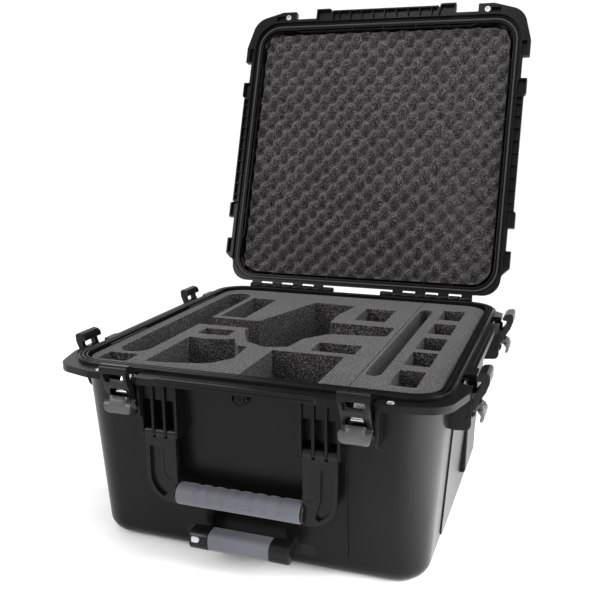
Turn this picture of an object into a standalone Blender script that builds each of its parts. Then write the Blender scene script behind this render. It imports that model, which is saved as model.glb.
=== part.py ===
"""Hard carrying case for a drone: hinged lid, draw latches, bail handle, pull handle, wheels and cut foam.

Frame: X to the right, Y to the back, +Z up. The origin is the centre of the flat bottom of the base.
Sides are modelled as the front side, with "out" the distance from the centre along the side's outward normal.
Lid parts are modelled closed and hang from the lid_hinge empty, which holds the lid open.
"""

import math

import bmesh
import bpy
from mathutils import Matrix, Vector

# Driving dimensions in metres
RIM_Z = 0.334  # top of the base rim, where the lid seals
RIM_BOTTOM_Z, WALL_TOP_Z = 0.3150, 0.3147
RIM_OUT = 0.325
INNER_HALF = 0.3085  # inside of the base at the rim
BASE_CORNER = 0.060
FLANGE_Z = (0.315, 0.327)
LID_FLANGE_Z = (0.3285, 0.341)
LID_TOP_Z = 0.404
LID_OPEN = math.radians(109)
HINGE_Y, HINGE_Z = 0.338, 0.333
HINGE_RADIUS, HINGE_PIN_RADIUS = 0.007, 0.003
KNUCKLE_START, KNUCKLE_PITCH, KNUCKLE_WIDTH, KNUCKLES = 0.057, 0.0265, 0.026, 8
PANEL_HALF = 0.172  # raised panel in the middle of a side
VALVE_Z = 0.3005
GAP = 0.0004  # between a pin and its hole

# Latches: one at each end of the front and of both sides
LATCH_AT = 0.198
NOTCH_HALF = 0.026
CLAW_PIN = (0.3425, 0.272)  # out, z
LEVER_PIN = (0.350, 0.285)
LINK_PIN = (0.331, 0.320)
LINK_END = (0.346, 0.297)
LATCH_HALF = 0.0255
LATCH_ARM_IN = 0.0165
LATCH_PIN_RADIUS = 0.0019
FIN_IN, FIN_OUT = 0.0265, 0.0315  # sideways from the middle of the latch
FITTING_BACK, FITTING_TOP_Z = 0.3189, 0.3146

# Carrying handle in the middle of the front
HANDLE_PIN = (0.334, 0.230)
HANDLE_PIN_RADIUS = 0.003
BRACKET_FINGERS = ((0.1040, 0.1085), (0.1245, 0.1290), (0.1455, 0.1500), (0.1655, 0.1700))
HANDLE_KNUCKLES = ((0.1090, 0.1240), (0.1295, 0.1450), (0.1505, 0.1650))
GRIP_Z, GRIP_OUT, GRIP_HALF, GRIP_RADIUS = 0.127, 0.335, 0.1075, 0.0185

# Pull handle, its tubes and the wheels
TUBE_X, TUBE_Z, TUBE_RADIUS = 0.075, 0.046, 0.0065
TUBE_Y = (-0.3375, 0.165)
BAR_HALF, BAR_Y, BAR_Z = 0.088, (-0.350, -0.318), (0.034, 0.067)
SLEEVE_HALF = 0.054
WHEEL_X, WHEEL_Y, WHEEL_Z, WHEEL_RADIUS, WHEEL_WIDTH = 0.2355, 0.276, 0.032, 0.030, 0.028
AXLE_RADIUS = 0.004
PADLOCK_AT = (0.245, -0.338)
SCOOP_BACK = -0.281

# Foam
FOAM_TOP_Z = 0.327
PAD_TOP_Z = 0.1495
LAYER_GAP = 0.0005
MAIN_SEAM_Z = 0.235  # floor of the shallow pockets in the main foam
BATTERY_SEAM_Z = 0.215
FOAM_SPLIT_X = 0.1665

SIDES = {"front": 0.0, "right": math.pi / 2, "left": -math.pi / 2}
ENDS = {"a": -1, "b": 1}
COLOURS = {
    "shell_plastic": ((0.022, 0.023, 0.025), 0.45, 0.0),
    "latch_plastic": ((0.035, 0.036, 0.038), 0.40, 0.0),
    "pad_plastic": ((0.16, 0.16, 0.165), 0.45, 0.0),
    "grip_rubber": ((0.13, 0.15, 0.19), 0.65, 0.0),
    "steel": ((0.62, 0.62, 0.60), 0.28, 1.0),
    "foam": ((0.05, 0.052, 0.056), 0.95, 0.0),
    "seal_rubber": ((0.02, 0.02, 0.02), 0.7, 0.0),
    "button_plastic": ((0.45, 0.46, 0.47), 0.5, 0.0),
}


# ---------- shapes ----------


def finish(name, mesh):
    """An object in the scene from a bmesh, with its faces pointing out."""
    bmesh.ops.recalc_face_normals(mesh, faces=mesh.faces)
    data = bpy.data.meshes.new(name)
    mesh.to_mesh(data)
    mesh.free()
    thing = bpy.data.objects.new(name, data)
    bpy.context.scene.collection.objects.link(thing)
    return thing


def loft(name, rings):
    """A closed solid through rings of points, with flat ends."""
    mesh = bmesh.new()
    rows = [[mesh.verts.new(point) for point in ring] for ring in rings]
    count = len(rows[0])
    for low, high in zip(rows, rows[1:]):
        for i in range(count):
            j = (i + 1) % count
            mesh.faces.new((low[i], low[j], high[j], high[i]))
    mesh.faces.new(rows[0])
    mesh.faces.new(rows[-1])
    return finish(name, mesh)


def prism_z(name, outline, low, high):
    """An outline of (x, y) points, raised from one height to another."""
    return loft(name, [[(x, y, z) for x, y in outline] for z in (low, high)])


def prism_x(name, outline, low, high):
    """An outline of (out, z) points on the front side, stretched sideways."""
    return loft(name, [[(x, -out, z) for out, z in outline] for x in (low, high)])


def prism_y(name, outline, low, high):
    """An outline of (x, z) points, stretched from one y to another."""
    return loft(name, [[(x, y, z) for x, z in outline] for y in (low, high)])


def box(name, xs, ys, zs):
    outline = [(xs[0], ys[0]), (xs[1], ys[0]), (xs[1], ys[1]), (xs[0], ys[1])]
    return prism_z(name, outline, *zs)


def rod(name, centre, radius, length, axis, segments=8):
    """A cylinder about its centre, along one axis of the frame."""
    quarter = math.pi / 2
    turn = {"X": Matrix.Rotation(quarter, 4, "Y"), "Y": Matrix.Rotation(quarter, 4, "X"), "Z": Matrix()}
    mesh = bmesh.new()
    bmesh.ops.create_cone(
        mesh, cap_ends=True, segments=segments, radius1=radius, radius2=radius, depth=length,
        matrix=Matrix.Translation(centre) @ turn[axis],
    )
    return finish(name, mesh)


def pin_rod(name, at, radius, half, segments=8):
    """A cross pin or its hole: along X, at an (out, z) place on the front side."""
    return rod(name, (0, -at[0], at[1]), radius, 2 * half, "X", segments)


def arc(centre, radius, start, end, steps):
    """Points on an arc in a plane, with angles in degrees."""
    angles = [math.radians(start + (end - start) * i / steps) for i in range(steps + 1)]
    return [(centre[0] + radius * math.cos(a), centre[1] + radius * math.sin(a)) for a in angles]


def rounded_square(half, radius, steps=5):
    """A square with round corners, in the XY plane."""
    inner = half - radius
    points = []
    for quarter, (sx, sy) in enumerate(((1, 1), (-1, 1), (-1, -1), (1, -1))):
        points += arc((sx * inner, sy * inner), radius, 90 * quarter, 90 * quarter + 90, steps)
    return points


def rings_of(sections):
    """Loft rings from (half width, corner radius, height) sections."""
    return [[(x, y, z) for x, y in rounded_square(half, radius)] for half, radius, z in sections]


def combine(target, tools, operation):
    """Joins tools to the target, or cuts them from it, and removes them."""
    group = bpy.data.collections.new("tools")
    for tool in tools:
        group.objects.link(tool)
    modifier = target.modifiers.new(operation, "BOOLEAN")
    modifier.operation = operation
    modifier.solver = "EXACT"
    modifier.operand_type = "COLLECTION"
    modifier.collection = group
    bpy.context.view_layer.update()
    view = bpy.context.evaluated_depsgraph_get()
    data = bpy.data.meshes.new_from_object(target.evaluated_get(view))
    target.modifiers.clear()
    target.data = data
    for tool in tools:
        bpy.data.objects.remove(tool)
    bpy.data.collections.remove(group)


def join(target, tools):
    combine(target, tools, "UNION")


def cut(target, tools):
    combine(target, tools, "DIFFERENCE")


def turned(tools, angle):
    """The same tools on another side of the case."""
    for tool in tools:
        tool.rotation_euler.z = angle
    return tools


def moved(tools, x):
    for tool in tools:
        tool.data.transform(Matrix.Translation((x, 0, 0)))
    return tools


def paint(thing, slot):
    """Gives an object its material and smooth shading between sharp edges."""
    material = bpy.data.materials.get(slot)
    if material is None:
        colour, roughness, metallic = COLOURS[slot]
        material = bpy.data.materials.new(slot)
        material.use_nodes = True
        shader = material.node_tree.nodes["Principled BSDF"]
        shader.inputs["Base Color"].default_value = (*colour, 1)
        shader.inputs["Roughness"].default_value = roughness
        shader.inputs["Metallic"].default_value = metallic
    thing.data.materials.clear()
    thing.data.materials.append(material)
    thing.data.shade_smooth()
    thing.data.set_sharp_from_angle(angle=math.radians(35))
    return thing


def hang(thing, parent, pivot=(0, 0, 0)):
    """Parents a piece, with its origin on its joint's axis."""
    thing.data.transform(Matrix.Translation(-Vector(pivot)))
    thing.location = Vector(pivot)
    thing.parent = parent
    return thing


def on_lid(thing, hinge):
    """Moves a piece that was modelled in the closed lid onto the lid's hinge."""
    thing.data.transform(Matrix.Translation((0, -HINGE_Y, -HINGE_Z)))
    thing.parent = hinge
    return thing


def empty(name, location=(0, 0, 0), rotation=(0, 0, 0)):
    thing = bpy.data.objects.new(name, None)
    thing.location = location
    thing.rotation_euler = rotation
    bpy.context.scene.collection.objects.link(thing)
    return thing


# ---------- base and lid shells ----------


def flange_outline(notch):
    """The rim flange seen from above: stepped bars on three sides, notches for the latches, plain back."""
    front = [(0.137, 0.352), (0.137, 0.357), (0.172, 0.357), (0.172, notch), (0.224, notch), (0.224, 0.352)]
    side = [(-0.262, 0.348), (-0.224, 0.348), (-0.224, notch), (-0.172, notch), (-0.172, 0.347)]
    side += [(-0.134, 0.347), (-0.134, 0.342), (0.134, 0.342), (0.134, 0.347), (0.172, 0.347), (0.172, notch)]
    side += [(0.224, notch), (0.224, 0.344), (0.262, 0.344), (0.278, 0.326)]
    right = [(x, -out) for x, out in front] + [(0.262, -0.352)]
    right += arc((0.292, -0.296), 0.045, -80, -8, 5)
    right += [(out, y) for y, out in side]
    right += arc((0.286, 0.286), 0.040, 0, 90, 5)
    return right + [(-x, y) for x, y in reversed(right)]


def link_lugs():
    """Two small lugs in the notch, which hold the link's top bar."""
    outline = [(0.322, 0.3165), (0.331, 0.3165)] + arc((0.331, 0.320), 0.0035, -60, 60, 3)
    outline += [(0.331, 0.3235), (0.322, 0.3235)]
    return [prism_x("lug", outline, *sorted((side * 0.0105, side * 0.0145))) for side in (-1, 1)]


def side_panel():
    """The raised panel in the middle of one side."""
    outline = [(0.2935, 0.030), (0.2955, 0.026), (0.2995, 0.034), (0.3185, 0.300)]
    outline += [(0.3185, WALL_TOP_Z), (0.3125, WALL_TOP_Z)]
    return prism_x("panel", outline, -PANEL_HALF, PANEL_HALF)


def side_boss(side):
    """The raised part of a side wall, behind its middle."""
    outline = [(0.298, 0.070), (0.306, 0.070), (0.3118, 0.076), (0.3138, 0.088), (0.3145, 0.180)]
    outline += [(0.3185, 0.250), (0.3205, 0.300), (0.3205, WALL_TOP_Z), (0.3120, WALL_TOP_Z)]
    return prism_x("boss", outline, *sorted((side * 0.008, side * 0.125)))


def latch_fins(across):
    """The two fins beside a latch, under the flange."""
    fin = [(0.3156, 0.252), (0.340, 0.254)] + arc((0.340, 0.262), 0.008, -70, 0, 3)
    fin += [(0.348, FITTING_TOP_Z), (FITTING_BACK, FITTING_TOP_Z), (FITTING_BACK, 0.300)]
    inner = (LATCH_AT - FIN_OUT, LATCH_AT + FIN_IN)
    return [across("fin", fin, low, low + FIN_OUT - FIN_IN) for low in inner]


def fin_hole(side):
    return moved([pin_rod("hole", CLAW_PIN, LATCH_PIN_RADIUS + GAP, FIN_OUT + 0.001)], side * LATCH_AT)


def plate_outline(thickness):
    outer = FITTING_BACK + thickness
    return [(FITTING_BACK, 0.286), (outer, 0.286), (outer, FITTING_TOP_Z), (FITTING_BACK, FITTING_TOP_Z)]


def side_fitting(name, parent, side):
    """The two fins of one latch on a back plate under the flange."""

    def across(part, outline, low, high):
        return prism_x(part, outline, *sorted((side * low, side * high)))

    piece = across(name, plate_outline(0.0056), LATCH_AT - FIN_OUT + 0.001, LATCH_AT + FIN_OUT - 0.001)
    join(piece, latch_fins(across))
    cut(piece, fin_hole(side))
    return hang(paint(piece, "shell_plastic"), parent)


def handle_fitting(name, parent, side):
    """One handle bracket with the two latch fins beside it, on a common back plate under the flange."""
    top, back = FITTING_TOP_Z, FITTING_BACK

    def across(part, outline, low, high):
        return prism_x(part, outline, *sorted((side * low, side * high)))

    finger = [(0.3133, 0.222), (0.334, 0.2215)] + arc(HANDLE_PIN, 0.0085, -45, 0, 1)
    finger += [(0.3425, 0.244), (0.3425, top), (back, top), (back, 0.300)]
    web = [(0.3153, 0.244), (0.3225, 0.244), (0.3225, 0.288), (back, 0.288), (back, 0.300)]
    first, last = BRACKET_FINGERS[0][0] + 0.001, BRACKET_FINGERS[-1][1] - 0.001
    piece = across(name, plate_outline(0.0056), first, LATCH_AT + FIN_OUT - 0.001)
    parts = [across("panel", plate_outline(0.0191), first, last), across("web", web, first, last)]
    parts += [across("finger", finger, low, high) for low, high in BRACKET_FINGERS]
    join(piece, parts + latch_fins(across))
    handle_hole = moved([pin_rod("hole", HANDLE_PIN, HANDLE_PIN_RADIUS + GAP, 0.036)], side * 0.138)
    cut(piece, fin_hole(side) + handle_hole)
    return hang(paint(piece, "shell_plastic"), parent)


def knuckles(first):
    """Every second knuckle of both hinges, as (low, high) along X."""
    starts = [KNUCKLE_START + KNUCKLE_PITCH * i for i in range(first, KNUCKLES, 2)]
    right = [(x, x + KNUCKLE_WIDTH) for x in starts]
    return right + [(-high, -low) for low, high in right]


def knuckle_shapes(first, web_z):
    shapes = []
    for low, high in knuckles(first):
        middle = (low + high) / 2
        shapes.append(rod("barrel", (middle, HINGE_Y, HINGE_Z), HINGE_RADIUS, KNUCKLE_WIDTH, "X", 12))
        shapes.append(box("web", (low, high), (0.3225, HINGE_Y), web_z))
    return shapes


def hinge_bores():
    middle = KNUCKLE_START + KNUCKLE_PITCH * KNUCKLES / 2
    length = KNUCKLE_PITCH * KNUCKLES + 0.01
    return [rod("bore", (s * middle, HINGE_Y, HINGE_Z), HINGE_PIN_RADIUS + GAP, length, "X") for s in (-1, 1)]


def padlock_holes(zs):
    middle = (zs[0] + zs[1]) / 2
    depth = zs[1] - zs[0] + 0.004
    return [rod("hole", (s * PADLOCK_AT[0], PADLOCK_AT[1], middle), 0.0072, depth, "Z", 16) for s in (-1, 1)]


def padlock_ring(name, side, zs):
    """A steel ring that lines a padlock hole."""
    centre = (side * PADLOCK_AT[0], PADLOCK_AT[1], (zs[0] + zs[1]) / 2)
    ring = rod(name, centre, 0.0066, zs[1] - zs[0], "Z", 16)
    cut(ring, [rod("eye", centre, 0.0042, 0.05, "Z", 16)])
    return paint(ring, "steel")


def scoop_void(back):
    """The room for fingertips behind the pull handle's bar."""
    right = [(0.066, 0.030), (0.066, 0.070), (0.046, 0.098)]
    return prism_y("scoop", right + [(-x, z) for x, z in reversed(right)], -0.33, back)


def tube_holes():
    return [rod("tube_hole", (side * TUBE_X, -0.29, TUBE_Z), 0.0082, 0.08, "Y", 12) for side in (-1, 1)]


def pull_recess():
    """The cup behind the window in the front wall, which the pull tubes pass."""
    outline = [(0.272, 0.020), (0.2862, 0.020), (0.2906, 0.030), (0.2950, 0.106), (0.272, 0.106)]
    cup = prism_x("pull_recess", outline, -0.090, 0.090)
    cut(cup, [scoop_void(SCOOP_BACK)] + tube_holes())
    return paint(cup, "shell_plastic")


def base_shell():
    """The walls and floor of the base, up to the rim."""
    sections = [
        (0.2657, 0.025, 0.0), (0.281, 0.040, 0.004), (0.2915, 0.050, 0.014), (0.2965, 0.055, 0.030),
        (0.3165, 0.055, WALL_TOP_Z), (0.3074, 0.050, WALL_TOP_Z), (0.291, 0.048, 0.030),
        (0.283, 0.040, 0.012), (0.270, 0.030, 0.006),
    ]
    shell = loft("base_shell", rings_of(sections))
    shapes = []
    for angle in SIDES.values():
        shapes += turned([side_panel()], angle)
    shapes.append(turned([side_boss(1)], SIDES["right"])[0])
    shapes.append(turned([side_boss(-1)], SIDES["left"])[0])
    for side in (-1, 1):
        xs = sorted((side * 0.215, side * 0.256))
        shapes.append(box("well_block", xs, (0.235, 0.295), (0.004, 0.070)))
    join(shell, shapes)
    holes = [scoop_void(-0.26)]
    holes.append(rod("valve_hole", (0, -0.315, VALVE_Z), 0.0078, 0.03, "Y", 12))
    holes += tube_holes()
    for side in (-1, 1):
        holes.append(box("well", sorted((side * 0.220, side * 0.251)), (0.241, 0.33), (-0.01, 0.065)))
        holes.append(rod("axle_hole", (side * WHEEL_X, WHEEL_Y, WHEEL_Z), AXLE_RADIUS + GAP, 0.05, "X"))
    cut(shell, holes)
    return paint(shell, "shell_plastic")


def base_rim():
    """The stiff ring round the top of the base, with the flange, the link lugs and the hinge knuckles."""
    rim = prism_z("base_rim", rounded_square(RIM_OUT, BASE_CORNER), RIM_BOTTOM_Z, RIM_Z)
    shapes = [prism_z("flange", flange_outline(0.3255), *FLANGE_Z)]
    for angle in SIDES.values():
        for side in (-1, 1):
            shapes += turned(moved(link_lugs(), side * LATCH_AT), angle)
    shapes += knuckle_shapes(0, (0.3215, 0.331))
    join(rim, shapes)
    holes = [prism_z("inside", rounded_square(INNER_HALF, 0.050), 0.30, 0.36)]
    holes += hinge_bores() + padlock_holes(FLANGE_Z)
    for angle in SIDES.values():
        for side in (-1, 1):
            holes += turned(moved([pin_rod("hole", LINK_PIN, 0.0024, 0.018)], side * LATCH_AT), angle)
    cut(rim, holes)
    return paint(rim, "shell_plastic")


def lid_shell(hinge):
    sections = [
        (0.285, 0.040, LID_TOP_Z), (0.300, 0.052, 0.398), (0.306, 0.055, 0.386), (0.318, 0.057, 0.345),
        (0.3265, 0.060, 0.3449), (0.3265, 0.060, 0.3345), (0.3205, 0.056, 0.3345), (0.3205, 0.056, 0.3395),
        (0.3135, 0.052, 0.3395), (0.3135, 0.052, 0.3345), (0.3095, 0.050, 0.3345), (0.298, 0.048, 0.392),
        (0.288, 0.040, 0.398),
    ]
    shell = loft("lid_shell", rings_of(sections))
    lip_top = 0.332
    flange = prism_z("flange", flange_outline(0.333), *LID_FLANGE_Z)
    notches = []
    for angle in SIDES.values():
        for side in (-1, 1):
            xs = (side * LATCH_AT - NOTCH_HALF, side * LATCH_AT + NOTCH_HALF)
            notches += turned([box("notch", xs, (-0.40, -0.3288), (lip_top, 0.35))], angle)
    notches.append(prism_z("rim_room", rounded_square(0.3275, 0.0625), 0.32, 0.335))
    notches.append(prism_z("inside", rounded_square(0.3215, 0.057), 0.33, 0.345))
    notches.append(box("back_room", (-0.4, 0.4), (0.275, 0.4), (0.32, 0.335)))
    cut(flange, notches)
    join(shell, [flange] + knuckle_shapes(1, (0.335, 0.3395)))
    cut(shell, hinge_bores() + padlock_holes(LID_FLANGE_Z))
    return on_lid(paint(shell, "shell_plastic"), hinge)


def seal(hinge):
    ring = prism_z("lid_gasket", rounded_square(0.3200, 0.0555), 0.3346, 0.3391)
    cut(ring, [prism_z("inside", rounded_square(0.3140, 0.0525), 0.32, 0.35)])
    return on_lid(paint(ring, "seal_rubber"), hinge)


def hinge_pin(name, side):
    """The steel pin of one hinge."""
    middle = KNUCKLE_START + KNUCKLE_PITCH * KNUCKLES / 2
    length = KNUCKLE_PITCH * KNUCKLES - 0.002
    return paint(rod(name, (side * middle, HINGE_Y, HINGE_Z), HINGE_PIN_RADIUS, length, "X"), "steel")


def pressure_valve():
    valve = rod("pressure_valve", (0, -0.3245, VALVE_Z), 0.0135, 0.010, "Y", 20)
    join(valve, [rod("stem", (0, -0.314, VALVE_Z), 0.0068, 0.016, "Y", 12)])
    return paint(valve, "shell_plastic")


# ---------- latches ----------


def arm_outline():
    """One side arm of the claw, from its pin up to the hook, as (out, z) points."""
    foot = arc(CLAW_PIN, 0.0048, 150, 330, 4)
    outer = [(0.3535, 0.290), (0.3605, 0.305), (0.368, 0.316), (0.374, 0.337), (0.3715, 0.3445)]
    hook = [(0.366, 0.3480), (0.361, 0.3480), (0.353, 0.3435), (0.351, 0.333)]
    inner = [(0.356, 0.331), (0.3575, 0.326), (0.3525, 0.3165), (0.349, 0.311), (0.3445, 0.298)]
    return foot + outer + hook + inner


def claw(name, parent, x):
    """The hooked arm of a latch."""
    piece = prism_x(name, arm_outline(), -LATCH_HALF, LATCH_HALF)
    pocket = [(0.30, 0.26), (0.40, 0.26), (0.40, 0.3075), (0.30, 0.3075)]
    window = [(0.34, 0.3210), (0.39, 0.3210), (0.39, 0.3320), (0.34, 0.3320)]
    cutters = [prism_x("cut", outline, -LATCH_ARM_IN, LATCH_ARM_IN) for outline in (pocket, window)]
    cutters.append(pin_rod("hole", CLAW_PIN, LATCH_PIN_RADIUS + GAP, 0.04))
    cutters.append(pin_rod("hole", LEVER_PIN, 0.0020, 0.04))
    cut(piece, cutters)
    moved([piece], x)
    return hang(paint(piece, "latch_plastic"), parent, (x, -CLAW_PIN[0], CLAW_PIN[1]))


def lever(name, parent, x):
    """The finger pad that closes a latch, with its neck and trunnions."""
    pad = [(0.3665, 0.2805), (0.367, 0.278), (0.3645, 0.266), (0.3615, 0.2635), (0.3590, 0.266)]
    pad.append((0.3613, 0.2805))
    neck = [(0.3475, 0.2825), (0.3525, 0.2825), (0.3613, 0.2775), (0.3668, 0.2790), (0.3655, 0.288)]
    neck += [(0.3585, 0.2935), (0.3565, 0.2930), (0.3475, 0.2875)]
    piece = prism_x(name, pad, -0.0248, 0.0248)
    join(piece, [prism_x("neck", neck, -0.0155, 0.0155), pin_rod("trunnion", LEVER_PIN, 0.0016, 0.0250)])
    moved([piece], x)
    return hang(paint(piece, "pad_plastic"), parent, (x, -LEVER_PIN[0], LEVER_PIN[1]))


def link(name, parent, x):
    """The steel link between the rim and the claw."""
    piece = pin_rod(name, LINK_PIN, 0.0019, 0.0160)
    along = Vector((LINK_END[0] - LINK_PIN[0], LINK_END[1] - LINK_PIN[1])).normalized()
    side = Vector((-along.y, along.x)) * 0.0011
    top, low = Vector(LINK_PIN), Vector(LINK_END)
    strap = [tuple(point) for point in (top + side, low + side, low - side, top - side)]
    parts = [prism_x("strap", strap, *sorted((s * 0.0062, s * 0.0095))) for s in (-1, 1)]
    parts.append(pin_rod("roller", LINK_END, 0.0034, 0.0108))
    join(piece, parts)
    moved([piece], x)
    return hang(paint(piece, "steel"), parent, (x, -LINK_PIN[0], LINK_PIN[1]))


def latch_pin(name, parent, x):
    pin = pin_rod(name, CLAW_PIN, LATCH_PIN_RADIUS, FIN_OUT - 0.0005)
    moved([pin], x)
    return hang(paint(pin, "steel"), parent)


def latch(tag, parent, x):
    claw(f"latch_claw_{tag}", parent, x)
    lever(f"latch_lever_{tag}", parent, x)
    link(f"latch_link_{tag}", parent, x)
    latch_pin(f"latch_pin_{tag}", parent, x)


# ---------- carrying handle ----------


def bail(name, parent):
    """A U-shaped carrying handle: two flat arms with knuckles and a core bar for the grip."""
    arm = [(0.1092, 0.227), (0.1092, 0.160), (0.1085, 0.148), (0.1085, 0.108), (0.119, 0.108)]
    arm += arc((0.119, 0.153), 0.045, -70, 0, 4) + [(0.164, 0.227)]
    pieces = [prism_y("arm", [(s * x, z) for x, z in arm], -0.340, -0.329) for s in (-1, 1)]
    collar = [(0.329, 0.215), (0.340, 0.215)] + arc(HANDLE_PIN, 0.0078, -30, 210, 4)
    for side in (-1, 1):
        for low, high in HANDLE_KNUCKLES:
            pieces.append(prism_x("knuckle", collar, *sorted((side * low, side * high))))
    piece = rod(name, (0, -GRIP_OUT, GRIP_Z), 0.0053, 0.230, "X", 8)
    join(piece, pieces)
    gaps = [pin_rod("bore", HANDLE_PIN, HANDLE_PIN_RADIUS + GAP, 0.20)]
    for side in (-1, 1):
        for low, high in BRACKET_FINGERS:
            xs = sorted((side * (low - GAP), side * (high + GAP)))
            gaps.append(box("finger_gap", xs, (-0.35, -0.31), (0.2195, 0.26)))
    cut(piece, gaps)
    return hang(paint(piece, "latch_plastic"), parent, (0, -HANDLE_PIN[0], HANDLE_PIN[1]))


def grip(name, parent):
    """The rubber sleeve on the handle."""
    piece = rod(name, (0, -GRIP_OUT, GRIP_Z), GRIP_RADIUS, 2 * GRIP_HALF, "X", 20)
    cut(piece, [rod("bore", (0, -GRIP_OUT, GRIP_Z), 0.0060, 0.3, "X", 8)])
    return hang(paint(piece, "grip_rubber"), parent, (0, -HANDLE_PIN[0], HANDLE_PIN[1]))


def handle_pin(name, parent, x):
    pin = pin_rod(name, HANDLE_PIN, HANDLE_PIN_RADIUS, 0.0315)
    moved([pin], x)
    return hang(paint(pin, "steel"), parent)


# ---------- pull handle and wheels ----------


def pull_handle():
    middle_y, middle_z = sum(BAR_Y) / 2, sum(BAR_Z) / 2
    half_y, half_z = (BAR_Y[1] - BAR_Y[0]) / 2, (BAR_Z[1] - BAR_Z[0]) / 2

    def bar_outline(shrink):
        """The bar's rounded section, as (out, z) points."""
        points = []
        for quarter, (sy, sz) in enumerate(((1, 1), (-1, 1), (-1, -1), (1, -1))):
            centre = (-middle_y + sy * (half_y - 0.011), middle_z + sz * (half_z - 0.011))
            points += arc(centre, 0.011 - shrink, 90 * quarter, 90 * quarter + 90, 3)
        return points

    bar = prism_x("pull_grip_bar", bar_outline(0), -BAR_HALF, BAR_HALF)
    rebate = box("rebate", (-SLEEVE_HALF - GAP, SLEEVE_HALF + GAP), (-0.37, -0.308), (0.02, 0.08))
    cut(rebate, [prism_x("core", bar_outline(0.0045), -0.07, 0.07)])
    cutters = [rebate]
    for side in (-1, 1):
        cutters.append(rod("socket", (side * TUBE_X, -0.324, TUBE_Z), TUBE_RADIUS + GAP, 0.028, "Y", 12))
    cutters.append(box("button_seat", (-0.082, -0.068), (-0.36, -0.3445), (0.050, 0.060)))
    cut(bar, cutters)
    paint(bar, "shell_plastic")
    sleeve = prism_x("pull_grip_sleeve", bar_outline(0), -SLEEVE_HALF, SLEEVE_HALF)
    cut(sleeve, [prism_x("core", bar_outline(0.0042), -0.07, 0.07)])
    paint(sleeve, "pad_plastic")
    paint(box("pull_button", (-0.0816, -0.0684), (-0.3525, -0.3485), (0.0504, 0.0596)), "button_plastic")
    for name, side in (("left", -1), ("right", 1)):
        centre, length = (side * TUBE_X, sum(TUBE_Y) / 2, TUBE_Z), TUBE_Y[1] - TUBE_Y[0]
        paint(rod(f"pull_tube_{name}", centre, TUBE_RADIUS, length, "Y", 12), "steel")


def tube_housing():
    """Two sleeves on the floor of the base, joined by ties, in which the pull tubes slide."""
    housing = box("tube_housing", (-0.087, -0.063), (-0.268, 0.205), (0.034, 0.058))
    parts = [box("sleeve", (0.063, 0.087), (-0.268, 0.205), (0.034, 0.058))]
    for y in (-0.250, -0.03, 0.190):
        parts.append(box("tie", (-0.07, 0.07), (y - 0.012, y + 0.012), (0.034, 0.046)))
    for y in (-0.22, 0.17):
        for side in (-1, 1):
            parts.append(rod("foot", (side * TUBE_X, y, 0.0208), 0.008, 0.028, "Z"))
    join(housing, parts)
    cut(housing, [rod("bore", (s * TUBE_X, -0.05, TUBE_Z), 0.0074, 0.49, "Y", 12) for s in (-1, 1)])
    return paint(housing, "latch_plastic")


def wheel(name, x):
    """A wheel with its stub axles, which turn in the sides of the well."""
    disc = rod(name, (x, WHEEL_Y, WHEEL_Z), WHEEL_RADIUS, WHEEL_WIDTH, "X", 24)
    join(disc, [rod("axle", (x, WHEEL_Y, WHEEL_Z), AXLE_RADIUS, 0.0405, "X")])
    return hang(paint(disc, "seal_rubber"), None, (x, WHEEL_Y, WHEEL_Z))


# ---------- foam ----------


def foam_layer(name, low, high, cutters):
    """A horizontal layer of foam that fills the base, less its cutters."""
    halves = [0.2942 + 0.0501 * (z - 0.1115) for z in (low, high)]
    layer = loft(name, rings_of([(halves[0], 0.046, low), (halves[1], 0.048, high)]))
    cut(layer, cutters)
    return paint(layer, "foam")


def pit(xs, ys, floor=0.10):
    """A rectangular pocket cut straight down from the foam's top."""
    return box("pit", xs, ys, (floor, 0.40))


def drone_pits():
    """The drone's pocket, through both layers of the main foam."""
    return [pit((-0.115, 0.012), (-0.112, 0.227)), pit((0.011, 0.155), (0.002, 0.070))]


def controller_pits():
    """The controller's pocket, through the upper layer and into the lower one."""
    return [pit((-0.199, -0.111), (-0.270, -0.110), 0.205), pit((-0.112, -0.064), (-0.250, -0.138), 0.205)]


def shallow_pits():
    """Pockets through the upper layer only. Those that meet make one pocket."""
    return [
        pit((-0.285, -0.229), (-0.285, -0.244)), pit((-0.284, -0.226), (-0.232, 0.262)),
        pit((-0.255, -0.110), (-0.020, 0.036)), pit((-0.197, -0.134), (-0.085, -0.046)),
        pit((-0.214, -0.158), (0.052, 0.227)), pit((0.060, 0.125), (0.108, 0.210)),
        pit((0.047, 0.129), (-0.127, -0.072)), pit((-0.017, 0.117), (-0.291, -0.146)),
    ]


def battery_pits():
    """One long slot and five battery pockets."""
    starts = (-0.263, -0.155, -0.057, 0.052, 0.165)
    return [pit((0.1745, 0.2005), (-0.228, 0.236))] + [pit((0.223, 0.267), (y, y + 0.078)) for y in starts]


def foam_blocks():
    """Main and battery foam, each cut from two layers."""
    low, top = PAD_TOP_Z + LAYER_GAP, FOAM_TOP_Z

    def right_part():
        return box("split", (FOAM_SPLIT_X, 0.4), (-0.4, 0.4), (0, 0.5))

    def left_part():
        return box("split", (-0.4, FOAM_SPLIT_X + 0.001), (-0.4, 0.4), (0, 0.5))

    lower = [right_part()] + drone_pits() + controller_pits()
    foam_layer("foam_main_lower", low, MAIN_SEAM_Z - LAYER_GAP, lower)
    upper = [right_part()] + drone_pits() + controller_pits() + shallow_pits()
    foam_layer("foam_main_upper", MAIN_SEAM_Z, top, upper)
    foam_layer("foam_battery_lower", low, BATTERY_SEAM_Z - LAYER_GAP, [left_part()])
    foam_layer("foam_battery_upper", BATTERY_SEAM_Z, top, [left_part()] + battery_pits())


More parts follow.
